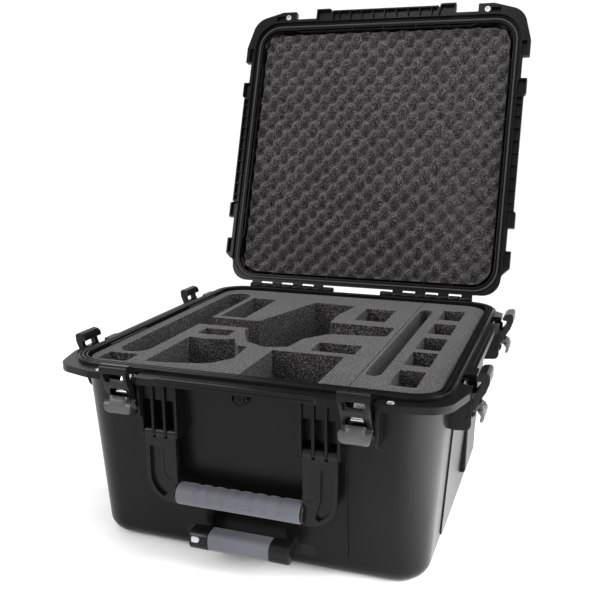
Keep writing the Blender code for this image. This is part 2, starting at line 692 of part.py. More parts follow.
def foam_pad():
    sections = [(0.266, 0.028, 0.0066), (0.280, 0.038, 0.0128), (0.2895, 0.046, 0.031)]
    pad = loft("foam_bottom_pad", rings_of(sections + [(0.2958, 0.046, PAD_TOP_Z)]))
    rooms = [box("housing_room", (-0.0905, 0.0905), (-0.272, 0.209), (-0.01, 0.0615))]
    rooms.append(box("scoop_room", (-0.094, 0.094), (-0.33, -0.268), (-0.01, 0.12)))
    for side in (-1, 1):
        rooms.append(box("wheel_room", sorted((side * 0.210, side * 0.261)), (0.231, 0.33), (-0.01, 0.11)))
    cut(pad, rooms)
    return paint(pad, "foam")


def lid_foam(hinge):
    sections = [(0.3035, 0.045, 0.338), (0.2960, 0.045, 0.390), (0.2875, 0.038, 0.3972)]
    return on_lid(paint(loft("lid_foam", rings_of(sections)), "foam"), hinge)


# ---------- assembly ----------


def main():
    for thing in list(bpy.data.objects):
        bpy.data.objects.remove(thing)
    hinge = empty("lid_hinge", (0, HINGE_Y, HINGE_Z), (-LID_OPEN, 0, 0))
    base_shell()
    base_rim()
    lid_shell(hinge)
    seal(hinge)
    lid_foam(hinge)
    foam_pad()
    foam_blocks()
    pressure_valve()
    pull_recess()
    for name, side in (("left", -1), ("right", 1)):
        hinge_pin(f"hinge_pin_{name}", side)
        padlock_ring(f"padlock_ring_base_{name}", side, (0.3145, 0.3275))
        on_lid(padlock_ring(f"padlock_ring_lid_{name}", side, (0.3282, 0.3415)), hinge)
        wheel(f"wheel_{name}", side * WHEEL_X)
    for side_name, angle in SIDES.items():
        side = empty(f"{side_name}_side", rotation=(0, 0, angle))
        for end, sign in ENDS.items():
            fitting = handle_fitting if side_name == "front" else side_fitting
            fitting(f"side_fitting_{side_name}_{end}", side, sign)
            latch(f"{side_name}_{end}", side, sign * LATCH_AT)
    bail("handle_bail", None)
    grip("handle_grip", None)
    for end, sign in ENDS.items():
        handle_pin(f"handle_pin_{end}", None, sign * 0.138)
    tube_housing()
    pull_handle()


main()
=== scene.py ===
"""Looks of the drone carrying case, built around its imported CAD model.

Sides are modelled as the front side: x runs along the side and "out" is the distance from the case's centre.
Lid pieces are modelled closed and turned open about the hinge.
"""

import math

import bmesh
import bpy
from mathutils import Matrix, Vector


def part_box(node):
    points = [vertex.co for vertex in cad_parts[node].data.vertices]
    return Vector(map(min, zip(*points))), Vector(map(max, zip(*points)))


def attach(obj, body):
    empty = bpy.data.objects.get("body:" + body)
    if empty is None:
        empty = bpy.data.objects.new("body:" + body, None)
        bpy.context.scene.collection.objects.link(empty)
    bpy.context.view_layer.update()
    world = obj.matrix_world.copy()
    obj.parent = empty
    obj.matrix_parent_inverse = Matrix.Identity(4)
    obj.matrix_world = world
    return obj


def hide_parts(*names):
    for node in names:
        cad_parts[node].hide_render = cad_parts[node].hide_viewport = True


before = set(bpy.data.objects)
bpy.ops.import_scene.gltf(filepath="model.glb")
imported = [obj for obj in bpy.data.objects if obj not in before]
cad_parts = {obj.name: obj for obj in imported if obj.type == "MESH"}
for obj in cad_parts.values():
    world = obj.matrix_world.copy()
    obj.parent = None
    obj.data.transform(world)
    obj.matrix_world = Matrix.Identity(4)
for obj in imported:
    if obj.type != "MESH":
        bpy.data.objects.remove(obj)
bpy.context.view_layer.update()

# ---------- places, from the frame ----------

RIM_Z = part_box("foam_main_upper")[1].z + 0.007  # the foam ends this far below the rim
PIN_LOW, PIN_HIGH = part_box("hinge_pin_left")
HINGE_Y, HINGE_Z = (PIN_LOW.y + PIN_HIGH.y) / 2, (PIN_LOW.z + PIN_HIGH.z) / 2
LID_OPEN = math.radians(109)
LID_TOP_Z = RIM_Z + 0.070
BASE_FLANGE_Z = (RIM_Z - 0.019, RIM_Z - 0.007)
LID_FLANGE_Z = (RIM_Z - 0.0055, RIM_Z + 0.007)
WALL_OUT, WALL_FOOT, WALL_TOP_Z, FOOT_RADIUS = 0.3165, 0.2965, 0.3151, 0.030
CORNER_CORE = 0.2640  # corner arcs of every ring share this centre
PANEL_HALF, PANEL_STEP = 0.172, 0.0030
SEAM_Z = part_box("foam_main_upper")[0].z  # floor of the shallow pockets

LATCH_AT, LATCH_HALF = 0.198, 0.0252
CLAW_PIN, LEVER_PIN = (0.3425, 0.272), (0.350, 0.285)
LINK_PIN, LINK_END = (0.331, 0.320), (0.346, 0.297)
FIN = (0.0265, 0.0315)

HANDLE_PIN = (0.334, 0.230)
FINGERS = ((0.1040, 0.1085), (0.1245, 0.1290), (0.1455, 0.1500), (0.1655, 0.1700))
HANDLE_KNUCKLES = ((0.1090, 0.1240), (0.1295, 0.1450), (0.1505, 0.1650))
GRIP_Z, GRIP_OUT, GRIP_HALF, GRIP_RADIUS = 0.127, 0.335, 0.1073, 0.0183
WHEEL_HALF, AXLE_RADIUS = 0.014, 0.004

SIDES = {"front": 0.0, "right": math.pi / 2, "left": -math.pi / 2}
ENDS = {"a": -1, "b": 1}
BEND_STEPS = 12  # points on a quarter turn of the case's corners


# ---------- shape helpers ----------


def made(name, mesh):
    """An object from a bmesh, with its faces pointing out."""
    bmesh.ops.recalc_face_normals(mesh, faces=mesh.faces)
    data = bpy.data.meshes.new(name)
    mesh.to_mesh(data)
    mesh.free()
    thing = bpy.data.objects.new(name, data)
    bpy.context.scene.collection.objects.link(thing)
    return thing


def loft(name, rings, closed=False):
    """A solid through rings of points: with flat ends, or closed on itself like a tyre."""
    mesh = bmesh.new()
    rows = [[mesh.verts.new(point) for point in ring] for ring in rings]
    pairs = list(zip(rows, rows[1:]))
    if closed:
        pairs.append((rows[-1], rows[0]))
    count = len(rows[0])
    for low, high in pairs:
        for i in range(count):
            j = (i + 1) % count
            mesh.faces.new((low[i], low[j], high[j], high[i]))
    if not closed:
        mesh.faces.new(rows[0])
        mesh.faces.new(rows[-1])
    return made(name, mesh)


def prism_x(name, outline, low, high):
    """An outline of (out, z) points, stretched sideways."""
    return loft(name, [[(x, -out, z) for out, z in outline] for x in (low, high)])


def prism_y(name, outline, low, high):
    """An outline of (x, z) points, from one distance out to another."""
    return loft(name, [[(x, -out, z) for x, z in outline] for out in (low, high)])


def prism_z(name, outline, low, high):
    """An outline of (x, y) points, from one height to another."""
    return loft(name, [[(x, y, z) for x, y in outline] for z in (low, high)])


def block(name, xs, outs, zs):
    """A box in the front side's frame."""
    return prism_x(name, [(outs[0], zs[0]), (outs[1], zs[0]), (outs[1], zs[1]), (outs[0], zs[1])], *sorted(xs))


def arc(centre, radius, start, end, steps):
    """Points on an arc, with angles in degrees."""
    angles = [math.radians(start + (end - start) * i / steps) for i in range(steps + 1)]
    return [(centre[0] + radius * math.cos(a), centre[1] + radius * math.sin(a)) for a in angles]


def fillet(points, radius, steps=4):
    """Rounds the corners of a closed outline. A point's third value is its own radius."""
    result = []
    for i, point in enumerate(points):
        here, before, after = (Vector(p[:2]) for p in (point, points[i - 1], points[(i + 1) % len(points)]))
        wanted = point[2] if len(point) > 2 else radius
        one, two = before - here, after - here
        angle = one.angle(two) / 2
        if wanted <= 0 or angle > math.radians(88):
            result.append(tuple(here))
            continue
        reach = min(wanted / math.tan(angle), 0.48 * one.length, 0.48 * two.length)
        bend = reach * math.tan(angle)
        one.normalize()
        two.normalize()
        centre = here + (one + two).normalized() * (bend / math.sin(angle))
        first, last = here + one * reach - centre, here + two * reach - centre
        start = math.atan2(first.y, first.x)
        sweep = (math.atan2(last.y, last.x) - start + math.pi) % (2 * math.pi) - math.pi
        for k in range(steps + 1):
            a = start + sweep * k / steps
            result.append((centre.x + bend * math.cos(a), centre.y + bend * math.sin(a)))
    return result


def rounded_square(half, radius, steps=BEND_STEPS):
    points = []
    for quarter, (sx, sy) in enumerate(((1, 1), (-1, 1), (-1, -1), (1, -1))):
        centre = (sx * (half - radius), sy * (half - radius))
        points += arc(centre, radius, 90 * quarter, 90 * quarter + 90, steps)
    return points


def square_ring(half, z, core=CORNER_CORE):
    return [(x, y, z) for x, y in rounded_square(half, half - core)]


def swept(name, profile, core=CORNER_CORE):
    """A profile of (half, z) points, swept round the case."""
    return loft(name, [square_ring(half, z, core) for half, z in profile], closed=True)


def turned_profile(name, profile, axis, centre, steps=32):
    """A solid of revolution from (along, radius) points, about an axis of the frame."""
    mesh = bmesh.new()
    rows = []
    for along, radius in profile:
        row = []
        for k in range(steps):
            a = 2 * math.pi * k / steps
            one, two = radius * math.cos(a), radius * math.sin(a)
            place = {"X": (along, one, two), "Y": (one, -along, two), "Z": (one, two, along)}[axis]
            row.append(mesh.verts.new(Vector(centre) + Vector(place)))
        rows.append(row)
    for low, high in zip(rows, rows[1:]):
        for k in range(steps):
            j = (k + 1) % steps
            mesh.faces.new((low[k], low[j], high[j], high[k]))
    mesh.faces.new(rows[0])
    mesh.faces.new(rows[-1])
    return made(name, mesh)


def rod(name, centre, radius, length, axis, edge=0.0006, steps=24):
    """A round bar with eased ends."""
    half = length / 2
    edge = min(edge, radius / 2)
    profile = [(-half, radius - edge), (edge - half, radius), (half - edge, radius), (half, radius - edge)]
    return turned_profile(name, profile, axis, centre, steps)


def tube(name, points, radius, steps=8):
    """A thin round bead along a line of points."""
    rings = []
    for i, point in enumerate(points):
        here = Vector(point)
        along = (Vector(points[min(i + 1, len(points) - 1)]) - Vector(points[max(i - 1, 0)])).normalized()
        side = along.cross(Vector((0, 1, 0.01))).normalized()
        up = along.cross(side)
        angles = [2 * math.pi * k / steps for k in range(steps)]
        rings.append([here + (side * math.cos(a) + up * math.sin(a)) * radius for a in angles])
    return loft(name, rings)


def boolean(target, tools, operation):
    group = bpy.data.collections.new("tools")
    for tool in tools:
        group.objects.link(tool)
    modifier = target.modifiers.new(operation, "BOOLEAN")
    modifier.operation = operation
    modifier.solver = "EXACT"
    modifier.operand_type = "COLLECTION"
    modifier.collection = group
    bpy.context.view_layer.update()
    data = bpy.data.meshes.new_from_object(target.evaluated_get(bpy.context.evaluated_depsgraph_get()))
    target.modifiers.clear()
    target.data = data
    for tool in tools:
        bpy.data.objects.remove(tool)
    bpy.data.collections.remove(group)
    return target


def cut(target, *tools):
    return boolean(target, tools, "DIFFERENCE")


def join(target, *tools):
    return boolean(target, tools, "UNION")


def gathered(name, parts):
    """One object from several separate shapes."""
    mesh = bmesh.new()
    for part in parts:
        part.data.transform(part.matrix_world)
        mesh.from_mesh(part.data)
        bpy.data.objects.remove(part)
    data = bpy.data.meshes.new(name)
    mesh.to_mesh(data)
    mesh.free()
    thing = bpy.data.objects.new(name, data)
    bpy.context.scene.collection.objects.link(thing)
    return thing


def shifted(thing, x=0, y=0, z=0):
    thing.data.transform(Matrix.Translation((x, y, z)))
    return thing


def copied(thing, name):
    twin = bpy.data.objects.new(name, thing.data.copy())
    bpy.context.scene.collection.objects.link(twin)
    for modifier in thing.modifiers:
        fresh = twin.modifiers.new(modifier.name, modifier.type)
        for key in ("width", "segments", "limit_method", "angle_limit", "harden_normals"):
            setattr(fresh, key, getattr(modifier, key))
    return twin


def soften(thing, width=0.0008, segments=2, angle=32):
    """Eased edges and smooth shading."""
    if width:
        bevel = thing.modifiers.new("ease", "BEVEL")
        bevel.width = width
        bevel.segments = segments
        bevel.limit_method = "ANGLE"
        bevel.angle_limit = math.radians(angle)
        bevel.harden_normals = True
    thing.data.shade_smooth()
    if not width:
        thing.data.set_sharp_from_angle(angle=math.radians(angle))
    return thing


def dress(thing, slot, body, *nodes):
    """Gives a finished piece its material, its body and the CAD nodes that it stands for."""
    thing.data.materials.clear()
    thing.data.materials.append(MATERIALS[slot])
    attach(thing, body)
    if nodes:
        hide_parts(*nodes)
    return thing


def opened(thing):
    """Turns a lid piece, modelled closed, about the hinge to the open lid."""
    place = Matrix.Translation((0, HINGE_Y, HINGE_Z))
    thing.data.transform(place @ Matrix.Rotation(-LID_OPEN, 4, "X") @ place.inverted())
    return thing


def to_side(thing, angle):
    thing.data.transform(Matrix.Rotation(angle, 4, "Z"))
    return thing


# ---------- materials ----------


def node_of(tree, kind, **values):
    node = tree.nodes.new(kind)
    for key, value in values.items():
        if key in node.inputs:
            node.inputs[key].default_value = value
        else:
            setattr(node, key, value)
    return node


def ramp(tree, source, stops):
    """A colour ramp from (position, colour) stops."""
    node = tree.nodes.new("ShaderNodeValToRGB")
    elements = node.color_ramp.elements
    while len(elements) < len(stops):
        elements.new(0.5)
    for element, (position, colour) in zip(elements, stops):
        element.position = position
        element.color = (*colour, 1)
    tree.links.new(source, node.inputs[0])
    return node.outputs[0]


def plastic(name, dark, light, rough, grain, height, shine=0.5, coat=0.0, sheen=0.0, metallic=0.0):
    """A moulded or cast finish: slow colour variation, fine grain in the bump and in the roughness."""
    material = bpy.data.materials.new(name)
    material.use_nodes = True
    tree = material.node_tree
    shader = tree.nodes["Principled BSDF"]
    place = tree.nodes.new("ShaderNodeTexCoord").outputs["Object"]
    slow = node_of(tree, "ShaderNodeTexNoise", Scale=9.0, Detail=3.0, Roughness=0.6)
    fine = node_of(tree, "ShaderNodeTexNoise", Scale=grain, Detail=4.0, Roughness=0.65)
    for node in (slow, fine):
        tree.links.new(place, node.inputs["Vector"])
    tree.links.new(ramp(tree, slow.outputs["Fac"], [(0.3, dark), (0.7, light)]), shader.inputs["Base Color"])
    spread = node_of(tree, "ShaderNodeMapRange")
    spread.inputs["From Min"].default_value = 0.3
    spread.inputs["From Max"].default_value = 0.7
    spread.inputs["To Min"].default_value = rough - 0.05
    spread.inputs["To Max"].default_value = rough + 0.06
    tree.links.new(fine.outputs["Fac"], spread.inputs["Value"])
    tree.links.new(spread.outputs["Result"], shader.inputs["Roughness"])
    bump = node_of(tree, "ShaderNodeBump", Strength=0.5, Distance=height)
    tree.links.new(fine.outputs["Fac"], bump.inputs["Height"])
    tree.links.new(bump.outputs["Normal"], shader.inputs["Normal"])
    shader.inputs["Metallic"].default_value = metallic
    shader.inputs["Specular IOR Level"].default_value = shine
    shader.inputs["Coat Weight"].default_value = coat
    shader.inputs["Coat Roughness"].default_value = 0.25
    shader.inputs["Sheen Weight"].default_value = sheen
    return material


def foam_finish():
    """Open-cell foam: light and dark cells about a millimetre wide, with a slow change of tone across the surface."""
    material = bpy.data.materials.new("foam")
    material.use_nodes = True
    tree = material.node_tree
    shader = tree.nodes["Principled BSDF"]
    place = tree.nodes.new("ShaderNodeTexCoord").outputs["Object"]
    cells = node_of(tree, "ShaderNodeTexVoronoi", Scale=620.0, Randomness=1.0)
    dust = node_of(tree, "ShaderNodeTexNoise", Scale=330.0, Detail=3.0, Roughness=0.75)
    slow = node_of(tree, "ShaderNodeTexNoise", Scale=14.0, Detail=2.0)
    for node in (cells, dust, slow):
        tree.links.new(place, node.inputs["Vector"])
    speckle = ramp(tree, dust.outputs["Fac"], [(0.40, (0.005, 0.004, 0.005)), (0.52, (0.019, 0.017, 0.018)),
                                               (0.61, (0.120, 0.115, 0.118))])
    shade = ramp(tree, slow.outputs["Fac"], [(0.3, (0.85, 0.85, 0.85)), (0.7, (1.1, 1.1, 1.1))])
    tinted = node_of(tree, "ShaderNodeMix", data_type="RGBA", blend_type="MULTIPLY")
    tinted.inputs["Factor"].default_value = 1.0
    tree.links.new(speckle, tinted.inputs[6])
    tree.links.new(shade, tinted.inputs[7])
    tree.links.new(tinted.outputs[2], shader.inputs["Base Color"])
    mixed = node_of(tree, "ShaderNodeMath", operation="ADD")
    tree.links.new(cells.outputs["Distance"], mixed.inputs[0])
    tree.links.new(dust.outputs["Fac"], mixed.inputs[1])
    bump = node_of(tree, "ShaderNodeBump", Strength=0.8, Distance=0.0006)
    tree.links.new(mixed.outputs[0], bump.inputs["Height"])
    tree.links.new(bump.outputs["Normal"], shader.inputs["Normal"])
    shader.inputs["Roughness"].default_value = 0.95
    shader.inputs["Specular IOR Level"].default_value = 0.2
    shader.inputs["Sheen Weight"].default_value = 0.15
    return material


MATERIALS = {
    "shell_plastic": plastic("shell_plastic", (0.0022, 0.0021, 0.0022), (0.0040, 0.0038, 0.0040), 0.30, 1100, 0.00004,
                             shine=0.12),
    "latch_plastic": plastic("latch_plastic", (0.0035, 0.0034, 0.0037), (0.0060, 0.0058, 0.0064), 0.24, 1500, 0.00002,
                             shine=0.13, coat=0.04),
    "pad_plastic": plastic("pad_plastic", (0.030, 0.030, 0.031), (0.042, 0.042, 0.044), 0.42, 1500, 0.00006),
    "grip_rubber": plastic("grip_rubber", (0.050, 0.054, 0.066), (0.064, 0.069, 0.082), 0.60, 1400, 0.00008,
                           sheen=0.15),
    "steel": plastic("steel", (0.50, 0.50, 0.49), (0.66, 0.66, 0.65), 0.26, 900, 0.00004, metallic=1.0),
    "foam": foam_finish(),
    "seal_rubber": plastic("seal_rubber", (0.008, 0.008, 0.008), (0.014, 0.014, 0.014), 0.62, 1200, 0.00008),
    "button_plastic": plastic("button_plastic", (0.34, 0.35, 0.37), (0.42, 0.43, 0.45), 0.45, 1400, 0.00005),
}


# ---------- base shell ----------


def wall_out(z):
    """Outside of the base's wall at a height: straight with draft, rounded at the foot."""
    if z < FOOT_RADIUS:
        return WALL_FOOT - FOOT_RADIUS + math.sqrt(FOOT_RADIUS**2 - (FOOT_RADIUS - z) ** 2)
    return WALL_FOOT + (WALL_OUT - WALL_FOOT) * (z - FOOT_RADIUS) / (WALL_TOP_Z - FOOT_RADIUS)


def base_walls():
    foot_steps = 8
    heights = [FOOT_RADIUS * (1 - math.cos(math.radians(90 * i / foot_steps))) for i in range(foot_steps + 1)]
    heights += [0.10, 0.17, 0.24, WALL_TOP_Z]
    rings = [square_ring(wall_out(z), z, 0.2415) for z in heights]
    inside = [(0.3095, WALL_TOP_Z), (0.3080, 0.300), (0.291, 0.030), (0.283, 0.012), (0.270, 0.006)]
    rings += [square_ring(half, z, 0.2430) for half, z in inside]
    wall = loft("base_wall", rings)
    wells = [block("well_block", (s * 0.215, s * 0.256), (-0.295, -0.235), (0.004, 0.070)) for s in (-1, 1)]
    return join(wall, *wells)


def tube_holes():
    return [rod("tube_hole", (side * 0.075, -0.29, 0.046), 0.0082, 0.08, "Y") for side in (-1, 1)]


def pull_recess():
    """The cup behind the window for the fingers."""
    outline = [(0.272, 0.020), (0.2862, 0.020), (0.2906, 0.030), (0.2950, 0.106), (0.272, 0.106)]
    cup = prism_x("recess_cup", outline, -0.090, 0.090)
    cut(cup, scoop_cutter(), *tube_holes())
    dress(soften(cup, 0.0010, 3), "shell_plastic", "base", "pull_recess")


def side_bosses():
    """The raised part of each side wall, behind its middle, with round edges."""
    top = WALL_TOP_Z + 0.0004
    outline = [(0.300, 0.070, 0), (0.3122, 0.070, 0.010), (0.3145, 0.180, 0.060), (0.3185, 0.250, 0.060)]
    outline += [(0.3205, 0.300, 0), (0.3205, top, 0), (0.312, top, 0)]
    for tag, sign in (("right", 1), ("left", -1)):
        boss = prism_x(f"base_boss_{tag}", fillet(outline, 0, 8), *sorted((sign * 0.008, sign * 0.125)))
        dress(to_side(soften(boss, 0.0022, 4), SIDES[tag]), "shell_plastic", "base", "base_shell")


def scoop_cutter():
    """The finger room above the pull handle: narrower at its top, with round corners."""
    outline = [(-0.066, 0.030, 0.006), (0.066, 0.030, 0.006), (0.066, 0.074, 0.006), (0.050, 0.100, 0.014),
               (-0.050, 0.100, 0.014), (-0.066, 0.074, 0.006)]
    points = fillet(outline, 0.006, 5)
    middle = Vector((0, 0.062))
    rings = []
    for out, scale in ((0.34, 1.06), (0.3030, 1.0), (0.2960, 0.97), (0.2815, 0.93)):
        ring = [middle + (Vector(p) - middle) * scale for p in points]
        rings.append([(p.x, -out, p.y) for p in ring])
    return loft("scoop", rings)


def side_panel(name, bottom=0.0285, top=WALL_TOP_Z + 0.0004):
    """The raised panel in the middle of a side, with round lower corners, following the wall's draft."""
    outline = fillet([(-PANEL_HALF, bottom, 0.016), (PANEL_HALF, bottom, 0.016), (PANEL_HALF, top, 0), (-PANEL_HALF, top, 0)],
                     0, 6)
    rings = []
    for step in (-0.004, PANEL_STEP):
        rings.append([(x, -(wall_out(max(z, FOOT_RADIUS)) + step), z) for x, z in outline])
    return loft(name, rings)


def flange_outline(notch):
    """The rim's flange from above: stepped bars on three sides, notches for the latches, plain back."""
    front = [(0.132, 0.352), (0.138, 0.357), (0.172, 0.357), (0.172, notch), (0.224, notch), (0.224, 0.352)]
    side = [(-0.262, 0.348), (-0.224, 0.348), (-0.224, notch), (-0.172, notch), (-0.172, 0.347), (-0.138, 0.347)]
    side += [(-0.132, 0.342), (0.132, 0.342), (0.138, 0.347), (0.172, 0.347), (0.172, notch), (0.224, notch)]
    side += [(0.224, 0.344), (0.262, 0.344), (0.278, 0.3275)]
    right = [(x, -out, 0.0018) for x, out in front] + [(0.260, -0.352, 0.012)]
    right += [(x, y, 0) for x, y in arc((0.292, -0.296), 0.045, -72, -14, 10)]
    right += [(out, y, 0.0018) for y, out in side]
    right += [(x, y, 0) for x, y in arc((0.2865, 0.2865), 0.0395, 0, 90, 10)]
    whole = right + [(-x, y, r) for x, y, r in reversed(right)]
    return fillet(whole, 0.0018, 3)


def base_flange():
    flange = prism_z("base_flange", flange_outline(0.3255), *BASE_FLANGE_Z)
    grooves = [prism_z("inside", rounded_square(0.3135, 0.0495), 0.30, 0.34)]
    step_z = BASE_FLANGE_Z[1] - 0.0022
    grooves.append(block("front_groove", (-0.129, 0.129), (0.3415, 0.3442), (step_z, 0.34)))
    grooves.append(block("front_line", (-0.129, 0.129), (0.3508, 0.354), (0.3195, 0.3212)))
    for angle in (SIDES["right"], SIDES["left"]):
        grooves.append(to_side(block("side_groove", (-0.129, 0.129), (0.3345, 0.3368), (step_z, 0.34)), angle))
    for side in (-1, 1):
        grooves.append(rod("hole", (side * 0.245, -0.338, 0.32), 0.0068, 0.04, "Z"))
    cut(flange, *grooves)
    return dress(soften(flange, 0.0012, 3), "shell_plastic", "base", "base_rim")


def base_rim():
    """The upstanding rim: an inner lip, a groove, the sealing tongue and a rounded outer shoulder."""
    top = RIM_Z
    profile = [
        (0.3085, 0.3100), (0.3085, top - 0.0006), (0.3091, top), (0.3112, top), (0.3117, top - 0.0010),
        (0.3119, top - 0.0036), (0.3146, top - 0.0036), (0.3149, top - 0.0012), (0.3154, top), (0.3182, top),
        (0.3187, top - 0.0012), (0.3190, top - 0.0032), (0.3206, top - 0.0032), (0.3209, top - 0.0014),
        (0.3215, top - 0.0004), (0.3235, top - 0.0006), (0.3246, top - 0.0020), (0.3250, top - 0.0040),
        (0.3250, 0.3160), (0.3175, 0.3100),
    ]
    return dress(soften(swept("base_rim_ring", profile), 0, angle=40), "shell_plastic", "base", "base_rim")


def bracket(sign):
    """A handle bracket: four fingers from the flange to the pin, with recessed panels at the top of the gaps."""
    outline = [(0.306, 0.3158), (0.3425, 0.3158), (0.3425, 0.2400)] + arc(HANDLE_PIN, 0.0085, 10, -90, 8)
    outline += [(0.316, 0.2225), (0.306, 0.2280)]
    parts = [prism_x("finger", outline, *sorted((sign * a, sign * b))) for a, b in FINGERS]
    for (_, low), (high, _) in zip(FINGERS, FINGERS[1:]):
        xs = (sign * (low - 0.0005), sign * (high + 0.0005))
        parts.append(block("panel", xs, (0.306, 0.3378), (0.2860, 0.3158)))
        parts.append(block("sill", xs, (0.306, 0.3400), (0.3120, 0.3158)))
        parts.append(block("back", xs, (0.306, 0.3225), (0.2440, 0.2865)))
    return parts


def fins(x):
    """The two fins beside a latch: plates with a round foot and a thicker front edge."""
    parts = []
    for side in (-1, 1):
        low, high = sorted((x + side * FIN[0], x + side * FIN[1]))
        outline = fillet([(0.310, 0.254), (0.322, 0.2515, 0.006), (0.3475, 0.2540, 0.009), (0.3475, 0.3165), (0.310, 0.3165)],
                         0.001, 5)
        parts.append(prism_x("fin", outline, low + 0.0006, high - 0.0006))
        edge = fillet([(0.3435, 0.262), (0.3480, 0.262), (0.3480, 0.3165), (0.3435, 0.3165)], 0.0012, 3)
        parts.append(prism_x("edge", edge, low, high))
        parts.append(rod("boss", ((low + high) / 2, -CLAW_PIN[0], CLAW_PIN[1]), 0.0052, high - low + 0.0004, "X"))
    return parts


def latch_seat(x):
    """What the base holds for one latch: the link's lugs in the notch and the round foot behind the pad."""
    parts = []
    lug = fillet([(0.322, 0.3150), (0.3345, 0.3150), (0.3345, 0.3235), (0.322, 0.3235)], 0.0030, 5)
    for side in (-1, 1):
        parts.append(prism_x("lug", lug, *sorted((x + side * 0.0105, x + side * 0.0145))))
    foot = fillet([(x - 0.0150, 0.282, 0.002), (x - 0.0150, 0.250, 0.012), (x + 0.0150, 0.250, 0.012), (x + 0.0150, 0.282, 0.002)],
                  0.002, 8)
    parts.append(prism_y("foot", foot, 0.306, 0.3350))
    return parts


def side_fittings(angle, tag):
    for end, sign in ENDS.items():
        parts = fins(sign * LATCH_AT) + latch_seat(sign * LATCH_AT)
        if tag == "front":
            parts += bracket(sign)
        piece = soften(gathered(f"fitting_{tag}_{end}", parts), 0.0006, 2)
        dress(to_side(piece, angle), "shell_plastic", "base", f"side_fitting_{tag}_{end}")


def knuckle_spans(first):
    start, pitch, width, places = 0.057, 0.0265, 0.026, 8
    spans = [(start + pitch * i, start + pitch * i + width) for i in range(first, places, 2)]
    return spans + [(-high, -low) for low, high in spans]


def knuckle_group(name, first, web_z):
    parts = []
    for low, high in knuckle_spans(first):
        middle = (low + high) / 2
        parts.append(rod("barrel", (middle, HINGE_Y, HINGE_Z), 0.0069, high - low - 0.0004, "X", 0.0012, 28))
        parts.append(block("web", (low + 0.001, high - 0.001), (-HINGE_Y, -0.3225), web_z))
    return gathered(name, parts)


def base_shell():
    wall = base_walls()
    cutters = [scoop_cutter()] + tube_holes()
    for side in (-1, 1):
        cutters.append(block("well", (side * 0.220, side * 0.251), (-0.33, -0.241), (-0.01, 0.065)))
    panel = cut(side_panel("base_panel_front"), scoop_cutter(), *tube_holes())
    cut(wall, *cutters)
    dress(soften(wall, 0.0012, 3), "shell_plastic", "base", "base_shell")
    dress(soften(panel, 0.0014, 3), "shell_plastic", "base", "base_shell")
    for tag in ("right", "left"):
        piece = to_side(side_panel(f"base_panel_{tag}"), SIDES[tag])
        dress(soften(piece, 0.0014, 3), "shell_plastic", "base", "base_shell")
    base_flange()
    base_rim()
    for tag, angle in SIDES.items():
        side_fittings(angle, tag)
    knuckles = knuckle_group("base_hinge_knuckles", 0, (0.3215, 0.3310))
    dress(soften(knuckles, 0.0006, 2, 60), "shell_plastic", "base", "base_rim")
    rim_strips()
    pull_bay()
    pull_recess()
    side_bosses()


def rim_strips():
    """Dark strips inside the rim that hold the foam down."""
    strips = []
    for side in (-1, 1):
        for centre, half in ((-0.150, 0.060), (0.150, 0.060)):
            xs = sorted((side * 0.3045, side * 0.3085))
            strips.append(shifted(block("strip", xs, (-half, half), (0.3255, 0.3300)), y=centre))
    dress(soften(gathered("base_foam_strips", strips), 0.0005), "seal_rubber", "base", "base_rim")


def pull_bay():
    """Small flush plates beside the pull handle."""
    plates = []
    for side in (-1, 1):
        outline = fillet([(side * 0.091, 0.031), (side * 0.117, 0.031), (side * 0.117, 0.053), (side * 0.091, 0.053)], 0.002)
        rings = [[(x, -(wall_out(z) + step), z) for x, z in outline] for step in (0.001, PANEL_STEP + 0.0008)]
        plates.append(loft("plate", rings))
    dress(soften(gathered("base_pull_plates", plates), 0.0005), "latch_plastic", "base", "base_shell")


def pressure_valve():
    """The valve on the front: a flat disc with a raised ring, two notches and a spoked centre."""
    low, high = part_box("pressure_valve")
    centre = (0, -0.3195, (low.z + high.z) / 2)
    face = -low.y - 0.3195
    profile = [(-0.004, 0.0133), (face - 0.0012, 0.0133), (face, 0.0122), (face, 0.0106), (face - 0.0012, 0.0102),
               (face - 0.0012, 0.0052), (face - 0.0002, 0.0048)]
    disc = turned_profile("pressure_valve_cap", profile, "Y", centre, 40)
    notches = [block("notch", (s * 0.0085, s * 0.0112), (0.3235, 0.34), (0.2965, 0.3045)) for s in (-1, 1)]
    for turn in range(3):
        bar = block("spoke_gap", (-0.0046, 0.0046), (-low.y - 0.0009, 0.34), (-0.0005, 0.0005))
        bar.data.transform(Matrix.Translation((0, 0, centre[2])) @ Matrix.Rotation(math.radians(60 * turn), 4, "Y"))
        notches.append(bar)
    cut(disc, *notches)
    dress(soften(disc, 0.0003), "shell_plastic", "base", "pressure_valve")


# ---------- lid ----------


def lid_body():
    z, bend = LID_TOP_Z - 0.0016, 0.020
    angles = [math.radians(a) for a in range(0, 91, 15)]
    rounding = [(0.3060 - bend * (1 - math.cos(a)), z - bend * (1 - math.sin(a))) for a in angles]
    rings = [square_ring(half, height, 0.250) for half, height in reversed(rounding)]
    rings += [square_ring(half, height, 0.2625) for half, height in ((0.3170, 0.350), (0.3180, 0.3440), (0.3100, 0.3440))]
    rings += [square_ring(half, height, 0.250) for half, height in ((0.3080, 0.350), (0.2980, 0.392), (0.2880, 0.3975))]
    lid = loft("lid_wall", rings)
    recess = fillet([(-0.225, -0.225), (0.225, -0.225), (0.225, 0.225), (-0.225, 0.225)], 0.030, 8)
    inner = fillet([(-0.205, -0.205), (0.205, -0.205), (0.205, 0.205), (-0.205, 0.205)], 0.022, 8)
    channel = prism_z("channel", recess, z - 0.0022, z + 0.01)
    cut(channel, prism_z("island", inner, z - 0.01, z + 0.02))
    cut(lid, channel)
    dress(opened(soften(lid, 0.0012, 3)), "shell_plastic", "lid", "lid_shell")


